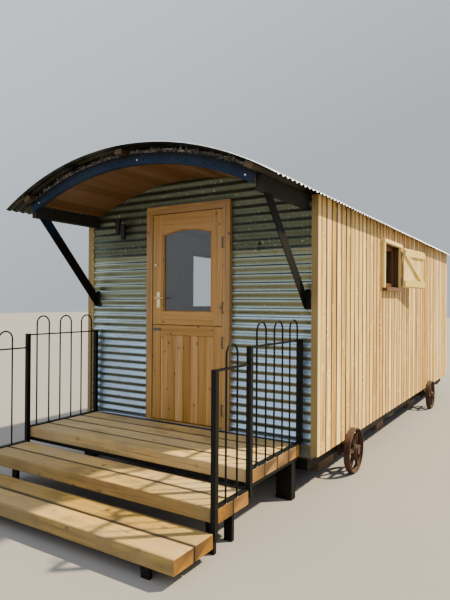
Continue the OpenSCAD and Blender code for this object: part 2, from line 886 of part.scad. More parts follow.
// a shutter in its closed place, before it is swung open
module closed_shutter(width, bottom) {
    low_y = window_high_y - width + leaf_gap;
    high_y = window_high_y - leaf_gap;
    sill_clearance = 8;
    low_z = bottom + sill_clearance;
    high_z = window_top - leaf_gap;
    board_x = casing_face_x - shutter_board;
    ledge_x = board_x - shutter_ledge;
    ledge_inset = 14;
    low_ledge = low_z + ledge_inset;
    high_ledge = high_z - ledge_inset;
    brace_low = low_ledge + ledge_height;
    brace_high = high_ledge - ledge_height;
    brace_inset = 20;
    strap_length = 180;
    strap_half = 14;
    strap_thickness = 4;
    span_box([board_x, low_y, low_z], [casing_face_x, high_y, high_z]);
    span_box([ledge_x, low_y, low_ledge], [board_x, high_y, brace_low]);
    span_box([ledge_x, low_y, brace_high], [board_x, high_y, high_ledge]);
    along_x(ledge_x, board_x)
        polygon([[high_y - brace_inset, brace_high], [low_y + brace_inset + brace_width, brace_low],
            [low_y + brace_inset, brace_low], [high_y - brace_inset - brace_width, brace_high]]);
    for (middle = [bottom + hinge_margin, window_top - hinge_margin]) {
        translate([shutter_pin_x, shutter_pin_y, middle - shutter_barrel])
            cylinder(r = pin_radius, h = 2 * shutter_barrel);
        span_box([casing_face_x, shutter_pin_y - strap_length, middle - strap_half],
            [casing_face_x + strap_thickness, shutter_pin_y, middle + strap_half]);
    }
}

module open_shutter(width, bottom, stand_off) {
    color(pale_timber) at_hut()
        translate([shutter_pin_x, shutter_pin_y, 0])
            rotate([0, 0, 180 - stand_off])
                translate([-shutter_pin_x, -shutter_pin_y, 0])
                    closed_shutter(width, bottom);
}

module shutter_right() {
    open_shutter(window_width, window_bottom, shutter_stand_off);
}

module shutter_left() {
    mirror([1, 0, 0]) open_shutter(left_window_width, left_window_bottom, left_stand_off);
}

// running gear
module chassis_rails() {
    color(steel_dark) at_hut() both_sides()
        span_box([chassis_half - chassis_rail, wall_front_y, chassis_bottom],
            [chassis_half, rear_sheet_y, chassis_top]);
}

module chassis_crossbars() {
    reach = chassis_half - chassis_rail;
    color(steel_dark) at_hut()
        for (y = crossbar_places)
            span_box([-reach, y, chassis_bottom], [reach, y + crossbar_width, chassis_top]);
}

// plates bolted to the chassis rails, each with a stub axle and its collar
module wheel_brackets() {
    plate = 20;
    collar_x = wheel_inner_x + 73;
    color(rust_iron) at_hut() both_sides()
        for (y = [front_wheel_y, rear_wheel_y]) {
            along_x(chassis_half, chassis_half + plate)
                polygon([[y - 90, chassis_top], [y - 90, chassis_bottom + 40], [y - 45, wheel_radius - 60],
                    [y + 45, wheel_radius - 60], [y + 90, chassis_bottom + 40], [y + 90, chassis_top]]);
            translate([chassis_half, y, wheel_radius])
                rotate([0, 90, 0]) {
                    cylinder(r = stub_radius + 15, h = plate + 25);
                    cylinder(r = stub_radius, h = collar_x - chassis_half + 8);
                }
            translate([collar_x, y, wheel_radius]) rotate([0, 90, 0]) cylinder(r = stub_radius + 8, h = 10);
        }
}

// half of a wheel's rim section, radius first: a flat tread with an inner rib for the spokes
module rim_section() {
    rim_inner = wheel_radius - rim_thickness;
    middle = wheel_width / 2;
    polygon([[rim_inner, 0], [wheel_radius - 3, 0], [wheel_radius, 3], [wheel_radius, wheel_width - 3],
        [wheel_radius - 3, wheel_width], [rim_inner, wheel_width], [rim_inner, middle + 12],
        [rim_inner - 8, middle + 7], [rim_inner - 8, middle - 7], [rim_inner, middle - 12]]);
}

// half of the hub's section: a swelled middle with a narrower collar at each end
module hub_section() {
    collar = 40;
    barrel = 46;
    swell = 56;
    low = -10;
    high = wheel_width + 10;
    polygon([[0, low], [collar, low], [barrel, low + 6], [barrel, 10], [swell, 16], [swell, wheel_width - 16],
        [barrel, wheel_width - 10], [barrel, high - 6], [collar, high], [0, high]]);
}

// one tapered blade of a spoke, from the hub to the rim's rib
module spoke_blade(root, tip, web) {
    start = 40;
    end = wheel_radius - rim_thickness - 4;
    linear_extrude(height = web, center = true)
        polygon([[start, -root / 2], [end, -tip / 2], [end, tip / 2], [start, root / 2]]);
}

// cast iron wheel: rim, stepped hub and tapered spokes of cross section
module cart_wheel(y) {
    middle = wheel_width / 2;
    spoke_web = 12;
    translate([wheel_inner_x, y, wheel_radius])
        rotate([0, 90, 0])
            difference() {
                union() {
                    rotate_extrude() rim_section();
                    rotate_extrude()
                        hub_section();
                    for (k = [0 : spoke_count - 1])
                        rotate(k * 360 / spoke_count + 30) {
                            translate([0, 0, middle]) spoke_blade(48, 28, spoke_web);
                            translate([0, 0, middle]) rotate([90, 0, 0]) spoke_blade(40, 22, spoke_web - 2);
                        }
                }
                translate([0, 0, -11]) cylinder(r = stub_radius + 0.5, h = wheel_width + 30);
            }
}

module wheel_front_right() {
    color(rust_iron) at_hut() cart_wheel(front_wheel_y);
}

module wheel_front_left() {
    mirror([1, 0, 0]) wheel_front_right();
}

module wheel_rear_right() {
    color(rust_iron) at_hut() cart_wheel(rear_wheel_y);
}

module wheel_rear_left() {
    mirror([1, 0, 0]) wheel_rear_right();
}

// timber piers with packers on them
module support_piers() {
    pad_z = chassis_bottom - packer_thickness;
    packer_inset = 50;
    color([0.3, 0.2, 0.13]) at_hut() both_sides()
        for (pier = piers) {
            low_y = pier[0];
            high_y = pier[0] + pier[1];
            span_box([pier_inner, low_y, 0], [pier_outer, high_y, pad_z]);
            span_box([pier_inner + packer_inset, low_y + packer_inset, pad_z],
                [chassis_half - 5, high_y - packer_inset, chassis_bottom]);
        }
}

// squared sleepers with planed edges
module sleeper(front, top) {
    edge = sleeper_chamfer;
    low = top - sleeper_thickness;
    back = front + sleeper_width;
    along_x(-sleeper_length / 2, sleeper_length / 2)
        polygon([[front, low + edge], [front + edge, low], [back - edge, low], [back, low + edge],
            [back, top - edge], [back - edge, top], [front + edge, top], [front, top - edge]]);
}

module deck_sleepers() {
    color(pale_timber) at_hut()
        for (k = [0 : 3]) sleeper(k * sleeper_pitch - deck_reach, deck_top);
}

module step_sleepers() {
    color(pale_timber) at_hut()
        for (k = [0, 1]) {
            sleeper(k * sleeper_pitch - middle_reach, middle_top);
            sleeper(k * sleeper_pitch - bottom_reach, bottom_top);
        }
}

// steel under the sleepers: bearers front to back, crossbars between them, and legs
module bearer(half, width, low_y, high_y, top) {
    span_box([half - width, low_y, top - bearer_height], [half, high_y, top]);
}

module deck_bearers() {
    color(steel_dark) at_hut() both_sides() {
        bearer(bearer_half, bearer_width, 8 - deck_reach, deck_depth - deck_reach - 8, under_deck);
        bearer(middle_half, narrow_leg, 20 - middle_reach, step_depth - middle_reach - 20, under_middle);
        bearer(bottom_half, narrow_leg, 10 - bottom_reach, step_depth - bottom_reach - 20, under_bottom);
    }
}

module crossbar(half, y, top) {
    span_box([-half, y, top - bearer_height], [half, y + crossbar_depth, top]);
}

module deck_crossbars() {
    color(steel_dark) at_hut() {
        crossbar(bearer_half - bearer_width, 8 - deck_reach, under_deck);
        crossbar(bearer_half - bearer_width, deck_depth - deck_reach - 60, under_deck);
        crossbar(middle_half - narrow_leg, middle_crossbar_y, under_middle);
        crossbar(bottom_half - narrow_leg, bottom_crossbar_y, under_bottom);
    }
}

module leg(half, width, y, depth, top) {
    span_box([half - width, y, 0], [half, y + depth, top - bearer_height]);
}

module deck_legs() {
    color(steel_dark) at_hut() both_sides() {
        leg(bearer_half, wide_leg, wide_leg_y, wide_leg_depth, under_deck);
        for (y = middle_legs_y)
            leg(middle_half, narrow_leg, y, narrow_leg_depth, under_middle);
        for (y = bottom_legs_y)
            leg(bottom_half, narrow_leg, y, narrow_leg_depth, under_bottom);
    }
}

// railings: square posts, flat rails and bow-topped bars
module railing_post(y, low, high) {
    span_box([-rail_post / 2, y - rail_post / 2, low], [rail_post / 2, y + rail_post / 2, high]);
}

module railing_posts() {
    color(steel_dark) at_hut() both_sides()
        translate([rail_x, 0, 0]) {
            railing_post(rear_post_y, deck_top + flat_rail, rail_top);
            railing_post(middle_post_y, middle_top - 48, rail_top);
            railing_post(front_post_y, 120, step_rail_top);
        }
}

module hoop(y, floor_z, peak) {
    bend_z = peak - hoop_bar - hoop_width / 2;
    for (side = [-1, 1])
        translate([0, y + side * hoop_width / 2, floor_z + 1])
            cylinder(r = hoop_bar, h = bend_z - floor_z - 1, $fn = bar_steps);
    translate([0, y, bend_z])
        rotate([90, 0, 90])
            rotate_extrude(start = 0, angle = 180)
                translate([hoop_width / 2, 0]) circle(r = hoop_bar, $fn = bar_steps);
}

// flat rails with the hoops through them; the lower rail runs on under the rear post
module railing_panel(low_y, high_y, low_rail_end, floor_z, top, peak, middle, count) {
    flat_outer = sleeper_length / 2 - rail_x;
    flat_inner = flat_outer - flat_width;
    sunk = 5;
    span_box([flat_inner, low_y, top - flat_rail - sunk], [flat_outer, high_y, top - sunk]);
    span_box([flat_inner, low_y, floor_z], [flat_outer, low_rail_end, floor_z + flat_rail]);
    for (k = [0 : count - 1])
        hoop(middle + (k - (count - 1) / 2) * hoop_pitch, floor_z, peak);
}

module railing_panels() {
    half_post = rail_post / 2;
    // the deck's hoops stand nearer the wall, the steps' hoop nearer the front
    deck_hoops_y = (middle_post_y + rear_post_y) / 2 + 18;
    step_hoop_y = (front_post_y + middle_post_y) / 2 - 18;
    step_end_y = middle_post_y - half_post;
    color(steel_dark) at_hut() both_sides()
        translate([rail_x, 0, 0]) {
            railing_panel(middle_post_y + half_post, rear_post_y - half_post, rear_post_y + half_post,
                deck_top, rail_top, hoop_top, deck_hoops_y, 3);
            railing_panel(front_post_y + half_post, step_end_y, step_end_y,
                middle_top, step_rail_top, step_hoop_top, step_hoop_y, 1);
        }
}

// small things on the front wall: a light of two tubes open at one end, and a hanging hook
module light_tube(x, z, open_end) {
    lens_z = open_end == "low" ? -1 : tube_height - 17;
    translate([x, -45, z])
        difference() {
            cylinder(r = tube_radius, h = tube_height);
            translate([0, 0, lens_z]) cylinder(r = tube_radius - 4, h = 18);
        }
}

module wall_light() {
    step = 70;
    drop = 60;
    arm_z = tube_z + 45;
    color(steel_dark) at_hut() {
        light_tube(-tube_x, tube_z, "high");
        light_tube(step - tube_x, tube_z - drop, "low");
        span_box([-tube_x, -50, arm_z - 5], [step - tube_x, -40, arm_z + 35]);
        span_box([5 - tube_x, -45, arm_z], [step - tube_x - 5, sheet_face_y, arm_z + 30]);
    }
}

module cabin_hook() {
    hook_drop = 64;
    rod_y = sheet_face_y - 9;
    color(steel_dark) at_hut() {
        span_box([hook_x - 9, sheet_face_y - 3, hook_z - 18], [hook_x + 9, sheet_face_y, hook_z + 20]);
        translate([hook_x, sheet_face_y - 2, hook_z]) rotate([90, 0, 0]) cylinder(r = 6, h = 12);
        translate([hook_x, rod_y, hook_z - hook_drop]) cylinder(r = 3, h = hook_drop);
        translate([hook_x, rod_y + 3, hook_z - hook_drop]) rotate([90, 0, 0]) cylinder(r = 3, h = 22);
    }
}

chassis_rails();
chassis_crossbars();
wheel_brackets();
support_piers();
floor();
front_wall_left();
front_wall_right();
front_wall_top();
rear_wall();
right_wall();
left_wall();
gable_sheets();
side_boards();
corner_posts();
door_frame();
window_casings();
window_frames();
window_sills();
window_panes();
ceiling();
roof_insulation();
purlins();
roof_sheets();
front_arch();
eaves_beams();
canopy_struts();
deck_bearers();
deck_crossbars();
deck_legs();
deck_sleepers();
step_sleepers();
railing_posts();
railing_panels();
wall_light();
cabin_hook();
sill_flashing();
upper_leaf();
upper_pane();
upper_fittings();
door_lever();
lower_leaf();
lower_fittings();
shutter_right();
shutter_left();
wheel_front_right();
wheel_front_left();
wheel_rear_right();
wheel_rear_left();
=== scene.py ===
import json
import random
from itertools import product
from math import asin, ceil, cos, exp, pi, radians, sin, sqrt, tan

import bmesh
import bpy
from mathutils import Matrix, Vector


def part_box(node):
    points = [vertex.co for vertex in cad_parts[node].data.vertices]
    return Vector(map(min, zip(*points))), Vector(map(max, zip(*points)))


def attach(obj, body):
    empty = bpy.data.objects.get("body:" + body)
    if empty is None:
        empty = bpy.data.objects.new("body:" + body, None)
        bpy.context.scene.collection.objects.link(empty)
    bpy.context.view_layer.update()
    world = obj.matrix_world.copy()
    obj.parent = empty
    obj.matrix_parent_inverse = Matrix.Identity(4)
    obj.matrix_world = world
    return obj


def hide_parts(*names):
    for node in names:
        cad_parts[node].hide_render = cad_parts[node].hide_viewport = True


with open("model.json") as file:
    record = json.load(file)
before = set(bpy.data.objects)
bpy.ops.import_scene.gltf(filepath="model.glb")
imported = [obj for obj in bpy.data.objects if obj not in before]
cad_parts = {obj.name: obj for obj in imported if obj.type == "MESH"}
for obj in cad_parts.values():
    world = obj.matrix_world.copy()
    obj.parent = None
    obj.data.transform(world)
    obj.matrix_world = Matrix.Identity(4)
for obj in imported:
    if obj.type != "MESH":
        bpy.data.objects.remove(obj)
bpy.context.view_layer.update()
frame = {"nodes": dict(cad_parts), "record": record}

dice = random.Random(11)

# The hut's own measures in metres, read from the frame where a node shows them
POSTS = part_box("corner_posts")
FRONT, BACK = POSTS[0][1], POSTS[1][1]
HALF, FOOT = POSTS[1][0], POSTS[0][2]
POST_SIDE = 0.062
WALL_FRONT, WALL_BACK = FRONT + POST_SIDE, BACK - POST_SIDE

SHEET = 0.001
PITCH = 0.0762
WAVE_DEPTH = 0.0135
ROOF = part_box("roof_sheets")
ROOF_RADIUS = 2.785
ROOF_CENTRE = ROOF[1][2] - ROOF_RADIUS
ROOF_ANGLE = asin(1.433 / ROOF_RADIUS)
ROOF_INNER = ROOF_RADIUS - 0.018
WALL_HEAD = ROOF_CENTRE + sqrt((ROOF_INNER - 0.002) ** 2 - HALF ** 2) - 0.001
ARCH_DEPTH = 0.085
ARCH_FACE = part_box("front_arch")[0][1]
ARCH_OUTER = ROOF_INNER - 0.045
ARCH_INNER = ARCH_OUTER - ARCH_DEPTH
PURLIN_LEANS = [asin(x / ARCH_OUTER) for x in (-1.18, -0.038, 1.18)]
PURLIN_HALF = 0.038
CEILING_INNER = ARCH_OUTER - 0.022
CEILING_BOARD = 0.015

GABLE_HALF = 1.2765
SHEET_FACE = FRONT + 0.012
SHEET_FOOT = 0.436
BOARDS = 48
BOARD_PITCH = (WALL_BACK - WALL_FRONT) / BOARDS
GROOVE = 0.018
FLOOR_TOP = 0.440

FRAME_HALF, FRAME_TOP, FRAME_FACE = 0.490, 2.553, FRONT - 0.020
DOOR_HALF = 0.416
PANE_HALF, PANE_FOOT, PANE_SPRING, PANE_RISE = 0.280, 1.519, 2.270, 0.044

SHUTTER_PIN = Vector((1.3825, FRONT + 2.6425, 0))
CASING_FACE = HALF + 0.035
WINDOW_HIGH = FRONT + 2.645
WINDOW_HEAD = 2.305
# right and left window: lowest y, foot of the opening, and how far the open shutter has turned
WINDOWS = {1: (FRONT + 1.935, 1.800, 172.5), -1: (FRONT + 1.800, 1.500, 173.723875)}

SLEEPER_WIDTH, SLEEPER_THICK, SLEEPER_EDGE, SLEEPER_PITCH = 0.198, 0.095, 0.007, 0.206


# Camera and light

def placed(name, data):
    item = bpy.data.objects.new(name, data)
    bpy.context.collection.objects.link(item)
    return item


def set_camera():
    eye = (2.991, -6.3615, 1.608)
    yaw, tilt, roll = (radians(angle) for angle in (32.05, 0.28, 0.36))
    data = bpy.data.cameras.new("camera")
    data.lens, data.sensor_width, data.shift_x = 31.6, 36, 0.0016
    camera = placed("camera", data)
    turn = Matrix.Rotation(yaw, 4, "Z") @ Matrix.Rotation(pi / 2 + tilt, 4, "X")
    camera.matrix_world = Matrix.Translation(eye) @ turn @ Matrix.Rotation(roll, 4, "Z")
    bpy.context.scene.camera = camera


def set_light():
    """A warm sun from the rear right, and a cool sky that is brightest above and to the front left."""
    sun = bpy.data.lights.new("key", "SUN")
    sun.energy = 10.8
    sun.angle = radians(2)
    sun.color = (1.0, 0.87, 0.60)
    toward_sun = Vector((0.483, 0.42, 0.768))
    placed("key", sun).rotation_euler = toward_sun.to_track_quat("Z", "Y").to_euler()
    world = bpy.data.worlds.new("studio")
    world.use_nodes = True
    tree = world.node_tree
    sky = tree.nodes["Background"]
    sky.inputs["Color"].default_value = (0.86, 0.92, 1.0, 1)
    brightest = tree.nodes.new("ShaderNodeVectorMath")
    brightest.operation = "DOT_PRODUCT"
    brightest.inputs[1].default_value = (-0.25, -0.45, 0.86)
    tree.links.new(tree.nodes.new("ShaderNodeTexCoord").outputs["Generated"], brightest.inputs[0])
    strength = tree.nodes.new("ShaderNodeMapRange")
    for socket, value in zip(strength.inputs[1:5], (-0.1, 0.9, 0.64, 1.35)):
        socket.default_value = value
    tree.links.new(brightest.outputs["Value"], strength.inputs[0])
    tree.links.new(strength.outputs[0], sky.inputs["Strength"])
    bpy.context.scene.world = world


# Materials: short helpers for node trees

class Finish:
    """One material, and the few node forms that the finishes share. made keeps all of them by name."""

    made = {}

    def __init__(self, name, **sockets):
        self.material = self.made[name] = bpy.data.materials.new(name)
        self.material.use_nodes = True
        self.tree = self.material.node_tree
        self.shader = self.tree.nodes["Principled BSDF"]
        for socket, value in sockets.items():
            self.shader.inputs[socket.replace("_", " ")].default_value = value

    def node(self, kind, settings=None, **inputs):
        """A node. Its inputs are given by name, or by number as i0, i1 and so on."""
        made = self.tree.nodes.new("ShaderNode" + kind)
        for key, value in (settings or {}).items():
            setattr(made, key, value)
        for key, value in inputs.items():
            self.feed(made.inputs[int(key[1:]) if key[1:].isdigit() else key.replace("_", " ")], value)
        return made

    def feed(self, socket, value):
        if isinstance(value, bpy.types.NodeSocket):
            self.tree.links.new(value, socket)
        else:
            socket.default_value = value

    def math(self, operation, first, second=0.0):
        return self.node("Math", {"operation": operation}, i0=first, i1=second).outputs[0]

    def plus(self, first, second):
        return self.math("ADD", first, second)

    def times(self, first, second):
        return self.math("MULTIPLY", first, second)

    def reach(self, first, second):
        """The length of a line with these two sides."""
        return self.math("SQRT", self.plus(*(self.math("POWER", side, 2.0) for side in (first, second))))

    def place(self):
        return self.node("TexCoord").outputs["Object"]

    def axes(self, vector):
        return list(self.node("SeparateXYZ", Vector=vector).outputs)

    def attribute(self, name, output="Fac"):
        return self.node("Attribute", {"attribute_name": name}).outputs[output]

    def noise(self, vector, scale, detail=4.0, rough=0.6):
        """Noise at one scale, or at one for each axis."""
        if isinstance(scale, tuple):
            vector, scale = self.node("Mapping", Vector=vector, Scale=scale).outputs[0], 1.0
        made = self.node("TexNoise", Vector=vector, Scale=scale, Detail=detail, Roughness=rough)
        return made.outputs["Fac"]

    def spread(self, value, low, high, new_low=0.0, new_high=1.0):
        return self.node("MapRange", i0=value, i1=low, i2=high, i3=new_low, i4=new_high).outputs[0]

    def vary(self, noise, low, high):
        """Noise spread from low to high. Most of it lies between 0.3 and 0.7."""
        return self.spread(noise, 0.3, 0.7, low, high)

    def ramp(self, value, *stops):
        made = self.node("ValToRGB", Fac=value)
        band = made.color_ramp
        while len(band.elements) < len(stops):
            band.elements.new(0.5)
        for element, (place, color) in zip(band.elements, stops):
            element.position = place
            element.color = (*color, 1)
        return made.outputs[0]

    def mix(self, factor, first, second, blend="MIX"):
        made = self.node("Mix", {"data_type": "RGBA", "blend_type": blend})
        self.feed(made.inputs[0], factor)
        for socket, value in ((6, first), (7, second)):
            linked = isinstance(value, bpy.types.NodeSocket)
            self.feed(made.inputs[socket], value if linked else (*value, 1))
        return made.outputs[2]

    def color(self, value):
        self.feed(self.shader.inputs["Base Color"], value)

    def rough(self, value):
        self.feed(self.shader.inputs["Roughness"], value)

    def bump(self, height, strength, distance):
        made = self.node("Bump", Strength=strength, Distance=distance, Height=height)
        self.feed(self.shader.inputs["Normal"], made.outputs["Normal"])


def wood(name, pale, dark, ring=0.007, contrast=0.5, knots=7.0, wear=None, wear_share=0.5, gloss=0.6,
         own=None, depth=0.0012, stain=0.25, tones=(0.80, 1.16), tint=None, fade=0.0, halo=0.0,
         blotch=None, knot_size=1.0):
    """Timber with rings round its heart, fibres along it, knots and weathering.

    A piece made here carries its grain frame as an attribute. A CAD node has none, so own says
    which axis its timber runs along."""
    f = Finish(name)
    place = f.place()
    if own:
        turn = {"y": (0, 0, pi / 2), "z": (0, pi / 2, 0)}[own]
        grain = f.node("Mapping", Vector=place, Rotation=turn, Location=(3.1, 0.043, 0.037)).outputs[0]
        tone = f.noise(place, 1.3, 1.0)
    else:
        grain, tone = f.attribute("grain", "Vector"), f.attribute("tone")
    _, side, up = f.axes(grain)
    side = f.plus(side, f.vary(f.noise(grain, (0.9, 7, 7), 2.0), -0.012, 0.012))
    rings = f.spread(f.math("SINE", f.times(f.reach(side, up), 2 * pi / ring)), -0.4, 1.0)
    fibre = f.noise(grain, (5, 260, 260), 3.0, 0.7)
    streak = f.noise(grain, (1.1, 38, 38), 3.0)
    body = f.plus(f.times(rings, contrast), f.vary(streak, -stain, stain))
    body = f.plus(body, f.vary(fibre, -0.12, 0.12))
    color = f.mix(f.spread(body, -0.2, 1.0), pale, dark)
    longer = f.node("Mapping", Vector=grain, Scale=(0.75, 1, 1)).outputs[0]
    cells = f.node("TexVoronoi", Vector=longer, Scale=knots).outputs["Distance"]
    if halo:
        share = f.times(f.spread(cells, 0.12, 0.16), f.spread(cells, 0.26, 0.17))
        color = f.mix(f.times(share, halo), color, tuple(min(1.0, c * 1.25) for c in pale))
    if blotch:
        patches = f.noise(place, (3.5, 6.0, 6.0))
        color = f.mix(f.spread(patches, 0.46, 0.64, 0.0, 0.75), color, blotch)
    knot = f.spread(cells, 0.055 * knot_size, 0.10 * knot_size, 1.0, 0.0)
    color = f.mix(f.times(knot, 0.85), color, tuple(c * 0.4 for c in dark))
    if wear:
        worn = f.times(f.spread(f.noise(place, 1.7, 5.0, 0.65), 0.42, 0.62), wear_share)
        if fade:
            x = f.axes(place)[0]
            ends = f.plus(f.spread(x, 0.7, -1.0, 0.0, fade), f.spread(x, 0.45, 0.8, 0.0, 0.35))
            worn = f.math("MINIMUM", f.plus(worn, ends), 0.95)
        color = f.mix(worn, color, wear)
    if tint:
        color = f.mix(f.vary(tone, 1.0, 0.0), color, f.mix(1.0, color, tint, "MULTIPLY"))
    # where the per-point darkening is high the wood goes nearly black: painted shade in grooves, gaps,
    # undersides and faces turned from the sun, and on the sleepers some dirt too
    if not own:
        color = f.mix(f.attribute("soil"), color, tuple(c * 0.08 for c in dark))
    made = f.node("HueSaturation", Saturation=f.spread(tone, 0.0, 1.0, 1.12, 0.9),
                  Value=f.spread(tone, 0.0, 1.0, *tones), Color=color)
    f.color(made.outputs[0])
    f.rough(f.spread(fibre, 0.2, 0.8, gloss - 0.1, gloss + 0.12))
    f.bump(f.plus(f.times(fibre, 0.7), f.times(rings, 0.3)), 0.5, depth)
    return f.material


def zinc(name, face=None, under=None, gloss=0.33, dirt=0.35, dirt_color=(0.33, 0.34, 0.27), bands=None,
         upper_bands=None, flecks=0.35):
    """Galvanised sheet: spangle, dull stains, and the color under where the tone attribute is high.
    On the roof, under is a painted shade of the sheets' lower skin. On the fold it is a painted
    reflection of the sky.

    bands color each corrugation from trough to trough in place of face and under, as a painted
    reflection: bright sky on the slopes that face up, dark ground on those that face down.
    upper_bands do the same higher up, where the painted reflection is mostly of the dark roof.
    The tone attribute then counts corrugations."""
    f = Finish(name, Metallic=0.92)
    place = f.place()
    spangle = f.node("TexVoronoi", Vector=place, Scale=70.0).outputs["Color"]
    spangle = f.node("SeparateColor", Color=spangle).outputs[0]
    stains = f.noise(place, (1.3, 1.3, 3.0), 7.0, 0.7)
    tone = f.attribute("tone")
    # the bands are painted reflections of sky, ground and roof, one cycle per corrugation
    color = f.ramp(f.math("FRACT", tone), *bands) if bands else f.mix(tone, face, under)
    if upper_bands:
        height = f.plus(f.axes(place)[2], f.vary(stains, -0.25, 0.25))
        color = f.mix(f.spread(height, 1.05, 1.6), color, f.ramp(f.math("FRACT", tone), *upper_bands))
    color = f.mix(f.times(f.spread(stains, 0.42, 0.66), dirt), color, dirt_color)
    spots = f.spread(f.noise(place, 45.0, 3.0, 0.75), 0.62, 0.72)
    color = f.mix(f.times(spots, flecks), color, (0.78, 0.79, 0.70))
    shade = f.spread(spangle, 0.0, 1.0, 0.9, 1.08)
    f.color(f.node("HueSaturation", Value=shade, Color=color).outputs[0])
    f.rough(f.plus(f.vary(stains, gloss, gloss + 0.22), f.spread(spangle, 0.0, 1.0, -0.04, 0.04)))
    f.bump(f.noise(place, 22.0), 0.12, 0.002)
    return f.material


def painted(name, color, worn, gloss=0.4, wear=0.3, shine=0.35, spray=None, shade=None):
    """Painted steel: dust on it, scuffs through it, and a slight orange peel.

    spray is a color that has drifted over the upper end of the left-hand piece. shade is a pair of
    radii round the roof's axis: from the first to the second the paint darkens to near black, a
    painted shade of the roof overhead."""
    f = Finish(name, Specular_IOR_Level=shine)
    place = f.place()
    dust = f.noise(place, 3.0, 6.0, 0.7)
    scuff = f.noise(place, (60.0, 60.0, 21.0), 3.0, 0.8)
    base = f.mix(f.times(f.spread(dust, 0.45, 0.7), wear), color, worn)
    base = f.mix(f.times(f.spread(scuff, 0.66, 0.74), wear), base, tuple(min(1, c * 2.5) for c in worn))
    x, _, z = f.axes(place)
    if spray:
        height = f.plus(z, f.vary(dust, -0.12, 0.12))
        base = f.mix(f.times(f.spread(height, 2.17, 2.30), f.math("LESS_THAN", x, 0.0)), base, spray)
    # painted shade: near black towards the outer radius, under the roof
    if shade:
        radius = f.reach(x, f.math("SUBTRACT", z, ROOF_CENTRE))
        base = f.mix(f.spread(radius, *shade, 0.0, 0.9), base, (0.0012, 0.0016, 0.0018))
    f.color(base)
    f.rough(f.vary(dust, gloss - 0.08, gloss + 0.2))
    f.bump(f.noise(place, 160.0, 2.0), 0.15, 0.0006)
    return f.material


def rusty(name):
    """Old cast iron, flaking and rusted right over."""
    f = Finish(name)
    broad = f.noise(f.place(), 9.0, 8.0, 0.7)
    fine = f.noise(f.place(), 90.0, 5.0, 0.75)
    color = f.ramp(broad, (0.30, (0.012, 0.005, 0.0025)), (0.45, (0.038, 0.014, 0.005)),
                   (0.60, (0.080, 0.030, 0.009)), (0.75, (0.13, 0.054, 0.016)))
    f.color(f.mix(f.spread(fine, 0.35, 0.65, 0.0, 0.5), color, (0.045, 0.018, 0.007)))
    f.rough(f.vary(fine, 0.65, 0.92))
    f.bump(f.plus(fine, broad), 0.6, 0.0018)
    return f.material


def glass(name, tint):
    f = Finish(name, Base_Color=(*tint, 1), Transmission_Weight=1.0, IOR=1.5)
    f.rough(f.vary(f.noise(f.place(), 6.0, 3.0), 0.015, 0.05))
    return f.material


def metal(name, color, gloss, tarnish, hinges=None):
    """Bare metal with tarnish. hinges is the color of the parts on the door's right half."""
    f = Finish(name, Metallic=1.0)
    place = f.place()
    cloud = f.noise(place, 30.0, 5.0, 0.7)
    base = f.mix(f.spread(cloud, 0.4, 0.75, 0.0, 0.8), color, tarnish)
    if hinges:
        base = f.mix(f.math("GREATER_THAN", f.axes(place)[0], 0.0), base, hinges)
    f.color(base)
    f.rough(f.vary(cloud, gloss, gloss + 0.25))
    f.bump(f.noise(place, (120.0, 120.0, 960.0), 2.0), 0.06, 0.0004)
    return f.material


def wool(name):
    """Grey brown insulation, with pale fibres where the tone attribute is high."""
    f = Finish(name, Roughness=1.0, Sheen_Weight=0.4)
    clump = f.noise(f.place(), 70.0, 6.0, 0.75)
    pad = f.ramp(clump, (0.3, (0.012, 0.010, 0.007)), (0.5, (0.032, 0.026, 0.018)),
                 (0.7, (0.075, 0.066, 0.052)))
    f.color(f.mix(f.attribute("tone"), pad, (0.66, 0.63, 0.57)))
    f.bump(clump, 0.8, 0.006)
    return f.material


larch = wood("larch_boards", (0.98, 0.65, 0.205), (0.33, 0.16, 0.048), ring=0.008, contrast=0.45, halo=0.95,
             wear=(0.72, 0.49, 0.20), wear_share=0.2, stain=0.95, tones=(0.72, 1.18),
             tint=(0.92, 0.84, 0.74))
# near-black timber behind the side boards' grooves: painted shade in the grooves
groove_shade_wood = wood("groove_shade_timber", (0.022, 0.012, 0.006), (0.012, 0.007, 0.0035), gloss=0.8)
post_wood = wood("post_timber", (1.0, 0.72, 0.26), (0.68, 0.44, 0.14), ring=0.008, knots=5.0)
# the purlins: the same treated pine as the corner posts, painted far darker as painted shade under the
# roof, the end faces a little less dark
shaded_purlin_wood = wood("treated_pine", (0.055, 0.036, 0.013), (0.027, 0.016, 0.006), ring=0.008, knots=5.0)
shaded_purlin_end = wood("shaded_purlin_end", (0.11, 0.07, 0.024), (0.06, 0.032, 0.011), ring=0.006, contrast=0.7,
                  knots=2.0)
sleeper_wood = wood("sleeper_timber", (0.68, 0.415, 0.098), (0.22, 0.12, 0.029), ring=0.012, contrast=0.45,
                    knots=8.0, knot_size=1.8, wear=(0.45, 0.32, 0.145), wear_share=0.55, fade=0.45,
                    blotch=(0.20, 0.13, 0.036), gloss=0.75, depth=0.002, stain=0.6, tones=(0.66, 1.22))
end_wood = wood("sleeper_end", (0.40, 0.178, 0.018), (0.17, 0.07, 0.007), ring=0.006, contrast=0.75,
                knots=2.0, gloss=0.85, depth=0.002)
varnish = wood("varnished_pine", (0.50, 0.27, 0.058), (0.23, 0.092, 0.016), knots=10.0, knot_size=1.5,
               gloss=0.38, depth=0.0004, stain=0.4, tones=(0.62, 1.22))
frame_wood = wood("frame_pine", (0.42, 0.25, 0.088), (0.20, 0.095, 0.028), knots=9.0, knot_size=1.4,
                  gloss=0.4, depth=0.0004, stain=0.4)
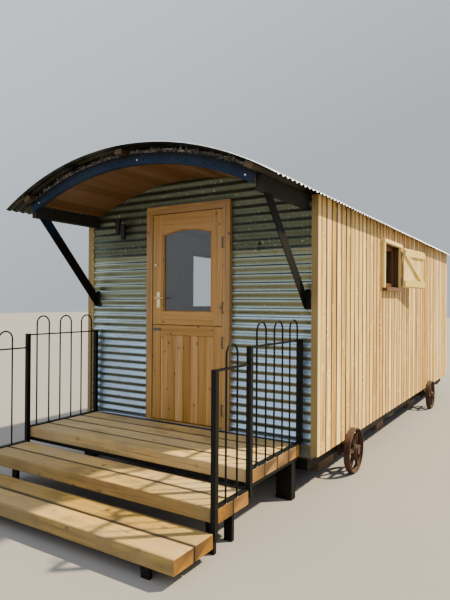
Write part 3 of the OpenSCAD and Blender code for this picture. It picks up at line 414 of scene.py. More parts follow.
# the ceiling: the same pine as the floor boards, painted far darker as painted shade under the roof
shaded_ceiling_wood = wood("shaded_ceiling_pine", (0.16, 0.078, 0.024), (0.09, 0.037, 0.010), ring=0.008, contrast=0.4,
                    gloss=0.5, depth=0.0005, tones=(0.7, 1.3))
boards_wood = wood("pine_boards", (0.50, 0.25, 0.085), (0.33, 0.14, 0.04), ring=0.008, contrast=0.4,
                   gloss=0.5, depth=0.0005)
yellow = wood("yellow_boards", (0.90, 0.66, 0.22), (0.52, 0.36, 0.11), contrast=0.35, knots=6.0)
# the window reveals: a red-brown stain, darkened further as painted shade inside the reveal
shaded_reveal_wood = wood("reveal_stain_and_shade", (0.085, 0.042, 0.015), (0.05, 0.021, 0.008), gloss=0.5)

# Colors across one corrugation, trough to trough, all painted reflections. The first bands paint the sky on
# the slopes that face up and the dark ground on those that face down. The upper ones paint the dark roof
# seen in the sheets higher up. The dull ones paint the dark roof over the upper gable sheets.
PAINTED_REFLECTION_BANDS = ((0.0, (0.36, 0.50, 0.66)), (0.05, (0.17, 0.19, 0.145)), (0.40, (0.20, 0.215, 0.165)),
                (0.46, (0.36, 0.50, 0.66)), (0.70, (0.47, 0.65, 0.84)), (0.76, (0.27, 0.37, 0.48)),
                (0.82, (0.45, 0.62, 0.80)), (1.0, (0.36, 0.50, 0.66)))
PAINTED_UPPER_REFLECTION_BANDS = ((0.0, (0.18, 0.215, 0.155)), (0.30, (0.225, 0.255, 0.18)), (0.55, (0.19, 0.23, 0.165)),
               (0.62, (0.62, 0.76, 0.71)), (0.69, (0.085, 0.10, 0.095)), (0.79, (0.085, 0.10, 0.095)),
               (0.86, (0.60, 0.74, 0.69)), (0.94, (0.19, 0.23, 0.165)))
PAINTED_DULL_REFLECTION_BANDS = ((0.0, (0.105, 0.130, 0.100)), (0.30, (0.120, 0.143, 0.106)), (0.55, (0.105, 0.130, 0.100)),
              (0.62, (0.150, 0.182, 0.150)), (0.70, (0.090, 0.110, 0.090)), (0.80, (0.085, 0.104, 0.086)),
              (0.88, (0.145, 0.176, 0.145)), (1.0, (0.105, 0.130, 0.100)))
# below the front gable's lap and on the rear gable: painted reflections of sky and ground
sheet_bright = zinc("zinc_sheet", bands=PAINTED_REFLECTION_BANDS, upper_bands=PAINTED_UPPER_REFLECTION_BANDS)
# the front gable's upper sheets: a painted reflection of the dark roof
sheet_dull = zinc("zinc_dull", gloss=0.42, dirt=0.5, dirt_color=(0.11, 0.125, 0.085), bands=PAINTED_DULL_REFLECTION_BANDS,
                  flecks=0.75)
# the roof's lower skin color is a painted shade, nearly black
sheet_roof = zinc("zinc_roof", (0.80, 0.86, 0.92), (0.008, 0.009, 0.005), gloss=0.36)
# the fold's blue tint is a painted reflection of the sky
sheet_fold = zinc("zinc_fold", (0.62, 0.70, 0.80), (0.10, 0.14, 0.22), gloss=0.25, dirt=0.2)
sheet_grey = zinc("zinc_grey", (0.20, 0.215, 0.17), (0.11, 0.12, 0.10), gloss=0.5, dirt=0.6,
                  dirt_color=(0.22, 0.20, 0.14))
# near-black plugs for the arch's holes: painted shade inside them
hole_shade_paint = painted("hole_shade_black", (0.0010, 0.0010, 0.0010), (0.002, 0.002, 0.002), gloss=0.9, wear=0.1,
                 shine=0.05)
strut_paint = painted("brown_steel", (0.0040, 0.0034, 0.0025), (0.010, 0.008, 0.006), gloss=0.6, wear=0.4,
                      shine=0.15, spray=(0.004, 0.015, 0.034))
bright_bolt = metal("zinc_bolts", (0.80, 0.82, 0.84), 0.25, (0.45, 0.46, 0.47))
dull_screw = metal("dull_screws", (0.30, 0.30, 0.25), 0.45, (0.15, 0.15, 0.12))
hinge_steel = metal("hinge_steel", (0.20, 0.18, 0.16), 0.35, (0.09, 0.075, 0.06))
window_glass = glass("window_glass", (0.86, 0.90, 0.89))
fluff = wool("insulation")

# these show on CAD nodes alone, and dress_nodes finds them by name
wood("wall_core", (0.62, 0.46, 0.27), (0.48, 0.31, 0.16), own="z", contrast=0.3)
wood("dark_timber", (0.22, 0.13, 0.066), (0.10, 0.056, 0.028), own="y", knots=4.0, gloss=0.85, depth=0.002)
wood("brown_beam", (0.008, 0.0078, 0.0055), (0.004, 0.0035, 0.0025), own="y", gloss=0.8)
wood("red_brown_frame", (0.15, 0.058, 0.014), (0.070, 0.024, 0.006), own="y", gloss=0.45)
painted("black_steel", (0.0034, 0.0040, 0.0030), (0.010, 0.0098, 0.0075), gloss=0.5, shine=0.15)
painted("black_fitting", (0.006, 0.006, 0.0065), (0.02, 0.02, 0.02), wear=0.15)
# the arch's paint darkens towards its top as painted shade under the roof
painted("blue_steel", (0.0026, 0.014, 0.040), (0.0022, 0.010, 0.024), gloss=0.5, wear=0.5, shine=0.2,
        shade=(ARCH_INNER + 0.040, ARCH_INNER + 0.075))
rusty("rusty_iron")
metal("brass_fittings", (0.80, 0.66, 0.40), 0.2, (0.42, 0.30, 0.15), hinges=(0.16, 0.14, 0.12))
glass("door_glass", (0.90, 0.93, 0.92))


def dress_nodes():
    """Every CAD node but lower_fittings gets the finish with its slot's name, lower_fittings the hinge
    steel, and the square-edged ones a planed edge.
    """
    slots = {part["node"]: part["material_slot"] for part in frame["record"]["subparts"]}
    for name, node in frame["nodes"].items():
        finish = hinge_steel if name == "lower_fittings" else Finish.made[slots[name]]
        if not node.material_slots:
            node.data.materials.append(finish)
        for place in node.material_slots:
            place.material = finish
    for name in ("chassis_rails", "chassis_crossbars", "support_piers", "eaves_beams", "deck_bearers",
                 "deck_crossbars", "deck_legs", "railing_posts", "window_frames", "window_sills"):
        edge = frame["nodes"][name].modifiers.new("planed_edges", "BEVEL")
        edge.width = 0.002
        edge.segments = 2
        edge.limit_method = "ANGLE"
        edge.angle_limit = radians(40)


# Meshes: one class gathers the parts of a piece, the functions below shape them

class Shape:
    """Points and faces of one piece. Each part added has its own grain frame and tone."""

    def __init__(self):
        self.points = []
        self.faces = []
        self.slots = []
        self.grain = []
        self.tones = []
        self.soil = []

    def add(self, points, faces, along="z", slot=0, tone=None, spread=0.05, soil=None, side=1):
        """spread is how far off the heart the timber may lie, the per-point darkening tells how dark each
        point is painted, from 0 to 1, mostly as painted shade and on the sleepers also dirt, and side -1
        mirrors a part of the right side to the left."""
        start = len(self.points)
        points = [(p[0] * side, p[1], p[2]) for p in points]
        order = {"x": (0, 1, 2), "y": (1, 2, 0), "z": (2, 0, 1)}[along]
        centre = [sum(p[a] for p in points) / len(points) for a in range(3)]
        shift = [dice.uniform(0, 40)]
        shift += [dice.choice((-1, 1)) * dice.uniform(0.02, 0.02 + spread) for _ in range(2)]
        tone = dice.random() if tone is None else tone
        for k, point in enumerate(points):
            self.grain.extend(point[a] - centre[a] + s for a, s in zip(order, shift))
            self.tones.append(tone(point) if callable(tone) else tone)
            self.soil.append(soil[k] if soil else 0.0)
        self.points.extend(points)
        self.faces.extend([start + k for k in face] for face in faces)
        self.slots.extend(slot if isinstance(slot, list) else [slot] * len(faces))

    def box(self, low, high, edge=0.0015, **how):
        self.add(*planed_box(low, high, edge), **how)

    def stud(self, profile, centre, out, steps, tone):
        """A small turned part that stands out of a surface along a direction."""
        points, faces = revolved(profile, (0, 0, 0), "z", steps)
        turn = Vector(out).to_track_quat("Z", "Y").to_matrix()
        self.add([Vector(centre) + turn @ Vector(p) for p in points], faces, tone=tone)

    def screw(self, centre, out, radius=0.006, height=0.0035):
        """A small domed head with a washer."""
        self.stud([(0, -0.002), (radius * 1.5, -0.002), (radius * 1.5, 0.0006), (radius, 0.0008),
                   (radius * 0.9, height * 0.7), (radius * 0.5, height), (0, height)], centre, out, 10, 0.3)

    def make(self, name, slot, finishes, body="hut", replaces=(), sharp=35, moved=None):
        mesh = bpy.data.meshes.new(name)
        mesh.from_pydata(self.points, [], self.faces)
        for layer, kind, key, values in (("grain", "FLOAT_VECTOR", "vector", self.grain),
                                         ("tone", "FLOAT", "value", self.tones),
                                         ("soil", "FLOAT", "value", self.soil)):
            mesh.attributes.new(layer, kind, "POINT").data.foreach_set(key, values)
        mesh.polygons.foreach_set("material_index", self.slots)
        mesh.polygons.foreach_set("use_smooth", [True] * len(self.faces))
        work = bmesh.new()
        work.from_mesh(mesh)
        bmesh.ops.recalc_face_normals(work, faces=work.faces)
        work.to_mesh(mesh)
        work.free()
        if moved:
            mesh.transform(moved)
            if moved.determinant() < 0:
                mesh.flip_normals()
        mesh.set_sharp_from_angle(angle=radians(sharp))
        for finish in finishes:
            mesh.materials.append(finish)
        piece = placed(name, mesh)
        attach(piece, body)
        if replaces:
            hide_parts(*replaces)


def planed_box(low, high, edge):
    """A box with its edges planed off. Each corner has three points, one on each flat face."""
    points, index = [], {}
    for sign in product((0, 1), repeat=3):
        for flat in range(3):
            point = [high[a] - edge if sign[a] else low[a] + edge for a in range(3)]
            point[flat] = high[flat] if sign[flat] else low[flat]
            index[sign, flat] = len(points)
            points.append(point)
    faces = [[index[sign, flat] for flat in range(3)] for sign in product((0, 1), repeat=3)]
    for axis in range(3):
        u, v = (axis + 1) % 3, (axis + 2) % 3

        def corner(*sides):
            sign = [0, 0, 0]
            sign[axis], sign[u], sign[v] = sides
            return tuple(sign)

        for side in (0, 1):
            faces.append([index[corner(side, *s), axis] for s in ((0, 0), (1, 0), (1, 1), (0, 1))])
        for across in product((0, 1), repeat=2):
            near, far = corner(0, *across), corner(1, *across)
            faces.append([index[near, u], index[far, u], index[far, v], index[near, v]])
    return points, faces


# where planed_box puts the two faces across Y
Y_ENDS = (14, 15)
AXES = {"x": (1, 2, 0), "y": (0, 2, 1), "z": (0, 1, 2)}


def lofted(rings):
    """A closed solid through equal rings of points: the two ends, then the bands between the rings."""
    n, last = len(rings[0]), len(rings[0]) * (len(rings) - 1)
    faces = [list(range(n)), list(range(last, last + n))]
    for row in range(0, last, n):
        faces.extend([row + k, row + (k + 1) % n, row + n + (k + 1) % n, row + n + k] for k in range(n))
    return [point for ring in rings for point in ring], faces


def extruded(outline, axis, low, high, edge=0.0):
    """An outline in the other two axes, in their order, drawn out along an axis. edge planes its ends."""
    u, v, _ = AXES[axis]
    middle = [sum(p[a] for p in outline) / len(outline) for a in (0, 1)]
    planed = [(low, edge), (low + edge, 0), (high - edge, 0), (high, edge)]
    rings = []
    for place, inset in planed if edge else [(low, 0), (high, 0)]:
        ring = []
        for p in outline:
            point = [place] * 3
            for a, b in ((0, u), (1, v)):
                point[b] = p[a] + (inset if p[a] < middle[a] else -inset)
            ring.append(point)
        rings.append(ring)
    return lofted(rings)


def revolved(profile, centre, axis, steps=16):
    """A closed solid of revolution. profile is (radius, place along the axis), from axis to axis."""
    u, v, w = AXES[axis]
    points, rows = [], []
    for radius, place in profile:
        row = []
        for k in range(1 if radius == 0 else steps):
            angle = 2 * pi * k / steps
            point = list(centre)
            point[u] += radius * cos(angle)
            point[v] += radius * sin(angle)
            point[w] += place
            row.append(len(points))
            points.append(point)
        rows.append(row)
    faces = []
    for a, b in zip(rows, rows[1:]):
        for k in range(steps):
            j = (k + 1) % steps
            face = [a[k % len(a)], a[j % len(a)], b[j % len(b)], b[k % len(b)]]
            faces.append(list(dict.fromkeys(face)))
    return points, faces


def tube(path, radius, sides):
    """A round bar along a path, closed at both ends."""
    rings = []
    path = [Vector(p) for p in path]
    side = None
    for k, place in enumerate(path):
        ahead = (path[min(k + 1, len(path) - 1)] - path[max(k - 1, 0)]).normalized()
        if side is None:
            side = ahead.orthogonal().normalized()
        side = (side - ahead * side.dot(ahead)).normalized()
        up = ahead.cross(side)
        rings.append([place + radius * (cos(2 * pi * s / sides) * side + sin(2 * pi * s / sides) * up)
                      for s in range(sides)])
    return lofted(rings)


def sheet_grid(front, back=None, thick=SHEET):
    """A thin closed sheet from a grid of points and its back, which else lies thick behind it in Y."""
    back = back or [[(x, y + thick, z) for x, y, z in row] for row in front]
    rows, columns = len(front), len(front[0])
    points = [p for grid in (front, back) for row in grid for p in row]
    size = rows * columns
    faces = []
    for r, c in product(range(rows - 1), range(columns - 1)):
        a = r * columns + c
        faces.append([a, a + 1, a + columns + 1, a + columns])
        faces.append([k + size for k in reversed(faces[-1])])
    border = [(0, c) for c in range(columns)] + [(r, columns - 1) for r in range(1, rows)]
    border += [(rows - 1, c) for c in range(columns - 2, -1, -1)] + [(r, 0) for r in range(rows - 2, 0, -1)]
    ring = [r * columns + c for r, c in border]
    faces.extend([a, b, b + size, a + size] for a, b in zip(ring, ring[1:] + ring[:1]))
    return points, faces


def on_roof(radius, angle, y):
    return (radius * sin(angle), y, ROOF_CENTRE + radius * cos(angle))


# Roof: corrugated sheets with side laps, screws, purlins, struts, ceiling boards and wool

WAVES_PER_SHEET = 10
LAP_WAVES = 1.5
LAP_LIFT = 0.0014
ARC_STEPS = 40
WAVE_STEPS = 8
FRONT_LIP = 0.008  # how far the first sheet's front edge bends down


def roof_radius_at(place):
    return ROOF_INNER + 0.0005 + WAVE_DEPTH / 2 * (1 + cos(2 * pi * place / PITCH))


def make_roof():
    """Each sheet's upper skin is bright, and its lower skin with the rim is painted nearly black, a painted
    shade under the roof.
    """
    shape = Shape()
    low_y = ROOF[0][1]
    length = ROOF[1][1] - low_y
    for k in range(ceil(length / (WAVES_PER_SHEET * PITCH))):
        start = k * WAVES_PER_SHEET * PITCH
        end = min(start + (WAVES_PER_SHEET + LAP_WAVES) * PITCH, length)
        steps = max(2, round((end - start) / PITCH * WAVE_STEPS))
        rows = []
        for c in range(steps + 1):
            place = start + (end - start) * c / steps
            lift = (LAP_LIFT if k % 2 else 0.0) - (0.0 if place else FRONT_LIP)
            rows.append((roof_radius_at(place) + lift, low_y + place))
        angles = [ROOF_ANGLE * (2 * r / ARC_STEPS - 1) for r in range(ARC_STEPS + 1)]
        grids = [[[on_roof(radius + skin, angle, y) for radius, y in rows] for angle in angles]
                 for skin in (SHEET, 0.0)]
        points, faces = sheet_grid(*grids)
        size = len(points) // 2
        # upper skin: the face color; lower skin and rim: the under color, a painted shade
        shape.add(points[:size], [f for f in faces if max(f) < size], along="x", tone=0.0)
        shape.add(points, [f for f in faces if max(f) >= size], along="x", tone=1.0)
    shape.make("roof_skin", "zinc_sheet", [sheet_roof], replaces=["roof_sheets"], sharp=60)


def make_roof_screws():
    shape = Shape()
    rows, waves_apart, seat = 31, 3, roof_radius_at(0) + SHEET + 0.0012
    for k, angle in product(range(rows), PURLIN_LEANS):
        place = on_roof(seat, angle, ROOF[0][1] + PITCH * (1 + waves_apart * k))
        shape.screw(place, (sin(angle), 0, cos(angle)), height=0.0018)
    shape.make("roof_screws", "zinc_sheet", [bright_bolt])


def make_purlins():
    shape = Shape()
    low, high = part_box("purlins")
    points, faces = planed_box((-PURLIN_HALF, low[1], ARCH_OUTER + 0.001),
                               (PURLIN_HALF, high[1], ROOF_INNER - 0.001), 0.002)
    slots = [int(k in Y_ENDS) for k in range(len(faces))]
    for angle in PURLIN_LEANS:
        turn = Matrix.Rotation(angle, 3, "Y")
        shape.add([turn @ Vector(p) + Vector((0, 0, ROOF_CENTRE)) for p in points], faces, along="y",
                  slot=slots, tone=0.5)
    shape.make("purlin_timbers", "treated_pine", [shaded_purlin_wood, shaded_purlin_end], replaces=["purlins"])


def make_struts():
    """Flat steel bars on edge from the wall up to the beams, each with a foot plate and welded head."""
    shape = Shape()
    bar_x, thick, depth, slope = 1.2187, 0.006, 0.103, radians(48.63)
    foot_y, foot_z, head_z = SHEET_FACE - 0.001, 1.562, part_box("canopy_struts")[1][2]
    plate_wide, plate_top, weld = 0.050, 1.725, 0.0032
    axis_y, axis_z, rise = FRONT - 0.0084, 1.6458, tan(slope)
    lower = (axis_y - sin(slope) * depth / 2, axis_z - cos(slope) * depth / 2)
    upper = (axis_y + sin(slope) * depth / 2, axis_z + cos(slope) * depth / 2)
    outline = [(foot_y, foot_z), (foot_y, upper[1] - (foot_y - upper[0]) * rise)]
    outline += [(y - (head_z - z) / rise, head_z) for y, z in (upper, lower)]
    outline.append((lower[0] - (foot_z - lower[1]) / rise, foot_z))
    for side in (1, -1):
        bar = extruded(outline, "x", bar_x - thick / 2, bar_x + thick / 2, 0.0008)
        shape.add(*bar, tone=0.5, side=side)
        centre = side * bar_x
        shape.box((centre + thick / 2, foot_y - 0.006, foot_z), (centre + plate_wide, foot_y, plate_top),
                  0.0008, tone=0.5)
        bead = [(outline[2][0] - 0.004 - 0.0129 * k, head_z - 0.002 - 0.0012 * (k % 2)) for k in range(11)]
        for off in (-0.004, 0.004):
            shape.add(*tube([(centre + off, y, z) for y, z in bead], weld, 6), tone=0.5)
    shape.make("strut_bars", "brown_steel", [strut_paint], replaces=["canopy_struts"])


def ceiling_board(start, end, low_y, high_y, edge=0.0035):
    """A board bent to the roof's curve, its two long edges planed on the underside."""
    inner, outer, trim = CEILING_INNER, CEILING_INNER + CEILING_BOARD - 0.0001, edge / CEILING_INNER
    third = (end - start) / 3
    section = [(inner, start + trim), (inner, start + third), (inner, end - third), (inner, end - trim),
               (inner + edge, end), (outer, end), (outer, start), (inner + edge, start)]
    return lofted([[on_roof(radius, angle, y) for radius, angle in section] for y in (low_y, high_y)])


def make_ceiling():
    """Narrower under the canopy, between the eaves beams, than in the room."""
    shape = Shape()
    porch, room = (asin(half / (CEILING_INNER + CEILING_BOARD)) for half in (1.185, 1.3185))
    board = 0.120 / CEILING_INNER
    count = 2 * ceil(room / board)
    for k in range(count):
        start = -board * count / 2 + k * board
        for limit, low_y, high_y in ((porch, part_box("ceiling")[0][1], WALL_FRONT),
                                     (room, WALL_FRONT, WALL_BACK)):
            left, right = max(start, -limit), min(start + board, limit)
            if right - left > 0.004:
                shape.add(*ceiling_board(left + 0.0001, right - 0.0001, low_y, high_y), along="y")
    shape.make("ceiling_boards", "pine_boards", [shaded_ceiling_wood], replaces=["ceiling"])


def wool_strand(shape, angle, radius, y):
    """A short tangled fibre of the insulation."""
    heading = dice.uniform(0, 6.28)
    path = [Vector(on_roof(radius, angle, y))]
    for _ in range(dice.randint(4, 8)):
        heading += dice.uniform(-0.9, 0.9)
        step = Vector((cos(heading), dice.uniform(-0.7, 0.3), 0.6 * sin(heading))) * 0.007
        path.append(path[-1] + step)
    strand = tube(path, dice.uniform(0.0006, 0.0014), 4)
    shape.add(*strand, tone=1.0 if dice.random() < 0.4 else 0.25)


def make_wool():
    """A rough roll of insulation between the purlins behind the arch, with fibres hanging out."""
    shape = Shape()
    front = ARCH_FACE + 0.010
    gap, steps, sides, strands = 0.045 / ARCH_OUTER, 90, 8, 150
    for left, right in zip(PURLIN_LEANS, PURLIN_LEANS[1:]):
        start, end = left + gap, right - gap
        rings = []
        for k in range(steps + 1):
            ring = []
            for s in range(sides):
                size = 0.012 * (0.7 + 0.5 * dice.random())
                ring.append(on_roof(ARCH_OUTER + 0.021 + size * sin(2 * pi * s / sides),
                                    start + (end - start) * k / steps,
                                    front + 0.03 + 1.6 * size * cos(2 * pi * s / sides)))
            rings.append(ring)
        shape.add(*lofted(rings), tone=0.0)
        for _ in range(strands):
            wool_strand(shape, dice.uniform(start, end), ARCH_OUTER + dice.uniform(0.008, 0.034),
                        front + dice.uniform(-0.004, 0.02))
    shape.make("wool_edge", "insulation", [fluff], sharp=80)


# Front and rear gables

def gable_depth(place):
    return 0.0143 * (1 + cos(2 * pi * place / PITCH)) / 2


def gable_reach(z):
    inside = (CEILING_INNER - 0.001) ** 2 - (z - ROOF_CENTRE) ** 2
    return min(GABLE_HALF, sqrt(inside)) if inside > 0 else 0.0


def make_gable():
    """Sheets on the front, slightly dented, with painted reflections: bright sky and dark ground below the
    lap, the dark roof above it.
    """
    shape = Shape()
    dent_depth, stand_off, rows_per_wave, column_width = 0.0006, 0.0022, 12, 0.09
    dents = [(dice.uniform(-1.2, 1.2), dice.uniform(0.5, 2.6), dice.uniform(0.1, 0.3)) for _ in range(26)]

    def face_y(x, z):
        dent = sum(dent_depth * exp(-((x - a) ** 2 + (z - b) ** 2) / c ** 2) * (-1) ** k
                   for k, (a, b, c) in enumerate(dents))
        return SHEET_FACE + stand_off + gable_depth(z - SHEET_FOOT) + dent

    def sheet(low_z, high_z, left, right, out, slot):
        rows = ceil((high_z - low_z) / PITCH * rows_per_wave)
        columns = max(2, round((right - left) / column_width))
        front = []
        for r in range(rows + 1):
            z = low_z + (high_z - low_z) * r / rows
            a, b = max(left, -gable_reach(z)), min(right, gable_reach(z))
            xs = [a + (b - a) * c / columns for c in range(columns + 1)]
            front.append([(x, face_y(x, z) - out, z) for x in xs])
        shape.add(*sheet_grid(front), along="x", slot=slot, tone=lambda p: (p[2] - SHEET_FOOT) / PITCH)

    lap, lap_out = SHEET_FOOT + 21.5 * PITCH, 0.0013
    for left, right in ((-GABLE_HALF, -FRAME_HALF), (FRAME_HALF, GABLE_HALF)):
        sheet(SHEET_FOOT, lap + PITCH * 0.5, left, right, 0.0, 0)
        sheet(lap, FRAME_TOP, left, right, lap_out, 1)
    sheet(FRAME_TOP, ROOF_CENTRE + CEILING_INNER - 0.003, -GABLE_HALF, GABLE_HALF, lap_out, 1)
    shape.make("gable_cladding", "zinc_sheet", [sheet_bright, sheet_dull], sharp=50)


def make_rear_gable():
    shape = Shape()
    node_low, node_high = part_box("gable_sheets")
    low, high = node_low[2], ROOF_CENTRE + ARCH_OUTER - 0.001
    rows, columns = ceil((high - low) / PITCH * 10), 24
    front = []
    for r in range(rows + 1):
        z = low + (high - low - 0.002) * r / rows
        edge = min(GABLE_HALF, sqrt(max(0.0001, (ARCH_OUTER - 0.001) ** 2 - (z - ROOF_CENTRE) ** 2)))
        y = node_high[1] - 0.0025 - gable_depth(z - low)
        front.append([(-edge + 2 * edge * c / columns, y, z) for c in range(columns + 1)])
    shape.add(*sheet_grid(front, thick=-SHEET), along="x", tone=lambda p: (p[2] - low) / PITCH)
    shape.make("rear_cladding", "zinc_sheet", [sheet_bright], replaces=["gable_sheets"], sharp=50)


def make_gable_screws():
    shape = Shape()
    waves, columns = range(2, 34, 4), (0.53, 0.88, 1.235)
    for k, x, side in product(waves, columns, (1, -1)):
        z = SHEET_FOOT + (k + 0.5) * PITCH
        if x < gable_reach(z) - 0.04:
            shape.screw((side * x, SHEET_FACE + 0.0012, z), (0, -1, 0), radius=0.005, height=0.003)
    shape.make("gable_screws", "zinc_sheet", [dull_screw])


def make_flashing():
    """The folded strip below the gable, creased where it has been trodden on."""
    shape = Shape()
    low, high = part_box("sill_flashing")
    columns = 160
    dents = [(dice.uniform(low[0], high[0]), dice.uniform(0.33, 0.43), dice.uniform(0.015, 0.05),
              dice.uniform(-1, 1)) for _ in range(70)]
    # profiles are (height, millimetres in front of the sheet's face)
    fold = ((0.4359, 0.0), (0.432, 2.4), (0.424, 2.9), (0.414, 2.4), (0.4105, 0.8))
    plate = ((0.4105, 0.8), (0.396, 1.7), (0.3945, 0.9), (0.378, 1.6), (0.3765, 0.8), (0.360, 1.5),
             (0.3585, 0.7), (0.342, 1.3), (0.330, 1.6), (0.326, 2.6), (low[2] + 0.0012, 10.2))
    for profile, slot, tone in ((fold, 0, 0.6), (plate, 1, 0.2)):
        front = []
        for z, out in profile:
            row = []
            for c in range(columns + 1):
                x = low[0] + (high[0] - low[0]) * c / columns
                crease = sum(size * exp(-((x - a) ** 2 + (z - b) ** 2) / r ** 2) for a, b, r, size in dents)
                out_here = max(0.0, min(11.0, out + 0.9 * max(-1, min(1, crease))))
                row.append((x, SHEET_FACE - 0.001 * out_here, z))
            front.append(row)
        shape.add(*sheet_grid(front), along="x", slot=slot, tone=tone)
    shape.box((low[0], SHEET_FACE + 0.0005, 0.4335), (high[0], high[1], 0.4355), 0.0003, along="x",
              tone=0.4)
    shape.make("flashing_sheet", "zinc_sheet", [sheet_fold, sheet_grey], replaces=["sill_flashing"],
               sharp=40)


# Side walls: boards with shadow grooves, nails and corner posts

def wall_board(low_y, high_y, foot, top, face):
    """A board of the right wall, its edges, back and foot painted dark as painted shade, the edges fading
    over the first few millimetres of its face.
    """
    edge, fade, rear = 0.0005, min(0.013, (high_y - low_y) / 3), HALF - 0.010
    outline = [(rear, low_y, 1.0), (face - edge, low_y, 1.0), (face, low_y + edge, 0.85),
               (face, low_y + fade, 0.0), (face, high_y - fade, 0.0), (face, high_y - edge, 0.7),
               (face - edge, high_y, 1.0), (rear, high_y, 1.0)]
    points, faces = lofted([[(x, y, z) for x, y, _ in outline] for z in (foot, foot + 0.002, top)])
    return points, faces, [1.0] * len(outline) + [soil for _, _, soil in outline] * 2


def make_side_boards():
    """One board for each pitch, split round the window, and near-black timber behind the grooves as painted
    shade in them.
    """
    shape = Shape()
    for side, (window_low, window_foot, _) in WINDOWS.items():
        for k in range(BOARDS):
            low = WALL_FRONT + k * BOARD_PITCH + (GROOVE / 2 if k else 0)
            high = WALL_FRONT + (k + 1) * BOARD_PITCH - (GROOVE / 2 if k < BOARDS - 1 else 0)
            face = HALF - abs(dice.gauss(0, 0.0004))
            tone = min(1, max(0, 0.5 + (0.22 if k % 2 else -0.16) + dice.gauss(0, 0.22)))
            a, b = max(low, window_low), min(high, WINDOW_HIGH)
            parts = [(low, high, FOOT, WALL_HEAD)]
            if a < b:
                parts = [(a, b, FOOT, window_foot), (a, b, WINDOW_HEAD, WALL_HEAD),
                         (low, a, FOOT, WALL_HEAD), (b, high, FOOT, WALL_HEAD)]
            for part in parts:
                if part[1] - part[0] > 0.003:
                    points, faces, soil = wall_board(*part, face)
                    shape.add(points, faces, tone=tone, soil=soil, side=side)
        # near-black backing behind the grooves: painted shade in the grooves
        for low, high, foot, top in ((WALL_FRONT, window_low, FOOT, WALL_HEAD),
                                     (WINDOW_HIGH, WALL_BACK, FOOT, WALL_HEAD),
                                     (window_low, WINDOW_HIGH, FOOT, window_foot),
                                     (window_low, WINDOW_HIGH, WINDOW_HEAD, WALL_HEAD)):
            shape.box((HALF - 0.020, low, foot), (HALF - 0.0102, high, top), 0.0001, tone=0.0, slot=1,
                      side=side)
    shape.make("side_cladding", "larch_boards", [larch, groove_shade_wood], replaces=["side_boards"])


def make_nails():
    shape = Shape()
    profile = [(0, -0.001), (0.0032, -0.001), (0.0030, 0.0003), (0.0015, 0.0007), (0, 0.0007)]
    heights, shares, clear = (0.40, 0.95, 1.50, 2.05, 2.42), (0.25, 0.75), 0.06
    for side, (window_low, window_foot, _) in WINDOWS.items():
        for k, height, share in product(range(BOARDS), heights, shares):
            y = WALL_FRONT + (k + share) * BOARD_PITCH + dice.uniform(-0.006, 0.006)
            z = height + dice.uniform(-0.012, 0.012)
            if not (window_low - clear < y < WINDOW_HIGH + clear
                    and window_foot - clear < z < WINDOW_HEAD + clear):
                shape.stud(profile, (side * (HALF - 0.0006), y, z), (side, 0, 0), 6, 0.5)
    shape.make("board_nails", "larch_boards", [hinge_steel])


def make_corner_posts():
    shape = Shape()
    for side, low_y in product((1, -1), (FRONT, WALL_BACK)):
        # the faces across Y are painted dark (0.76) and the ends darker still, as painted shade, since the
        # front stands in the canopy's shade; the faces across X keep the pale color
        shape.box((HALF - POST_SIDE + 0.0003, low_y, FOOT), (HALF, low_y + POST_SIDE, WALL_HEAD), 0.003,
                  tone=0.5, soil=[0.0, 0.76, 0.95] * 8, side=side)
    shape.make("corner_timbers", "treated_pine", [post_wood], replaces=["corner_posts"])


# Sleepers of the deck and steps

def sleeper_outline():
    """A sleeper's section: y, z and whether the point lies on the top or the underside. Each corner
    is round, and one more point on each side of it holds the darkening of the upright faces, painted shade
    with some dirt, to the edge."""
    width, thick, edge = SLEEPER_WIDTH, SLEEPER_THICK, SLEEPER_EDGE
    outline = []
    for centre_y, centre_z, start in ((width - edge, thick - edge, 0), (edge, thick - edge, 90),
                                      (edge, edge, 180), (width - edge, edge, 270)):
        for bend, past in ((0, -1), (0, 0), (30, 0), (60, 0), (90, 0), (90, 1)):
            angle = radians(start + bend)
            y, z = centre_y + edge * cos(angle), centre_z + edge * sin(angle)
            if past:
                y, z = y + 0.012 * cos(angle + past * pi / 2), z + 0.012 * sin(angle + past * pi / 2)
            outline.append((y, z, bool(past) and 0.001 < y < width - 0.001))
    return outline


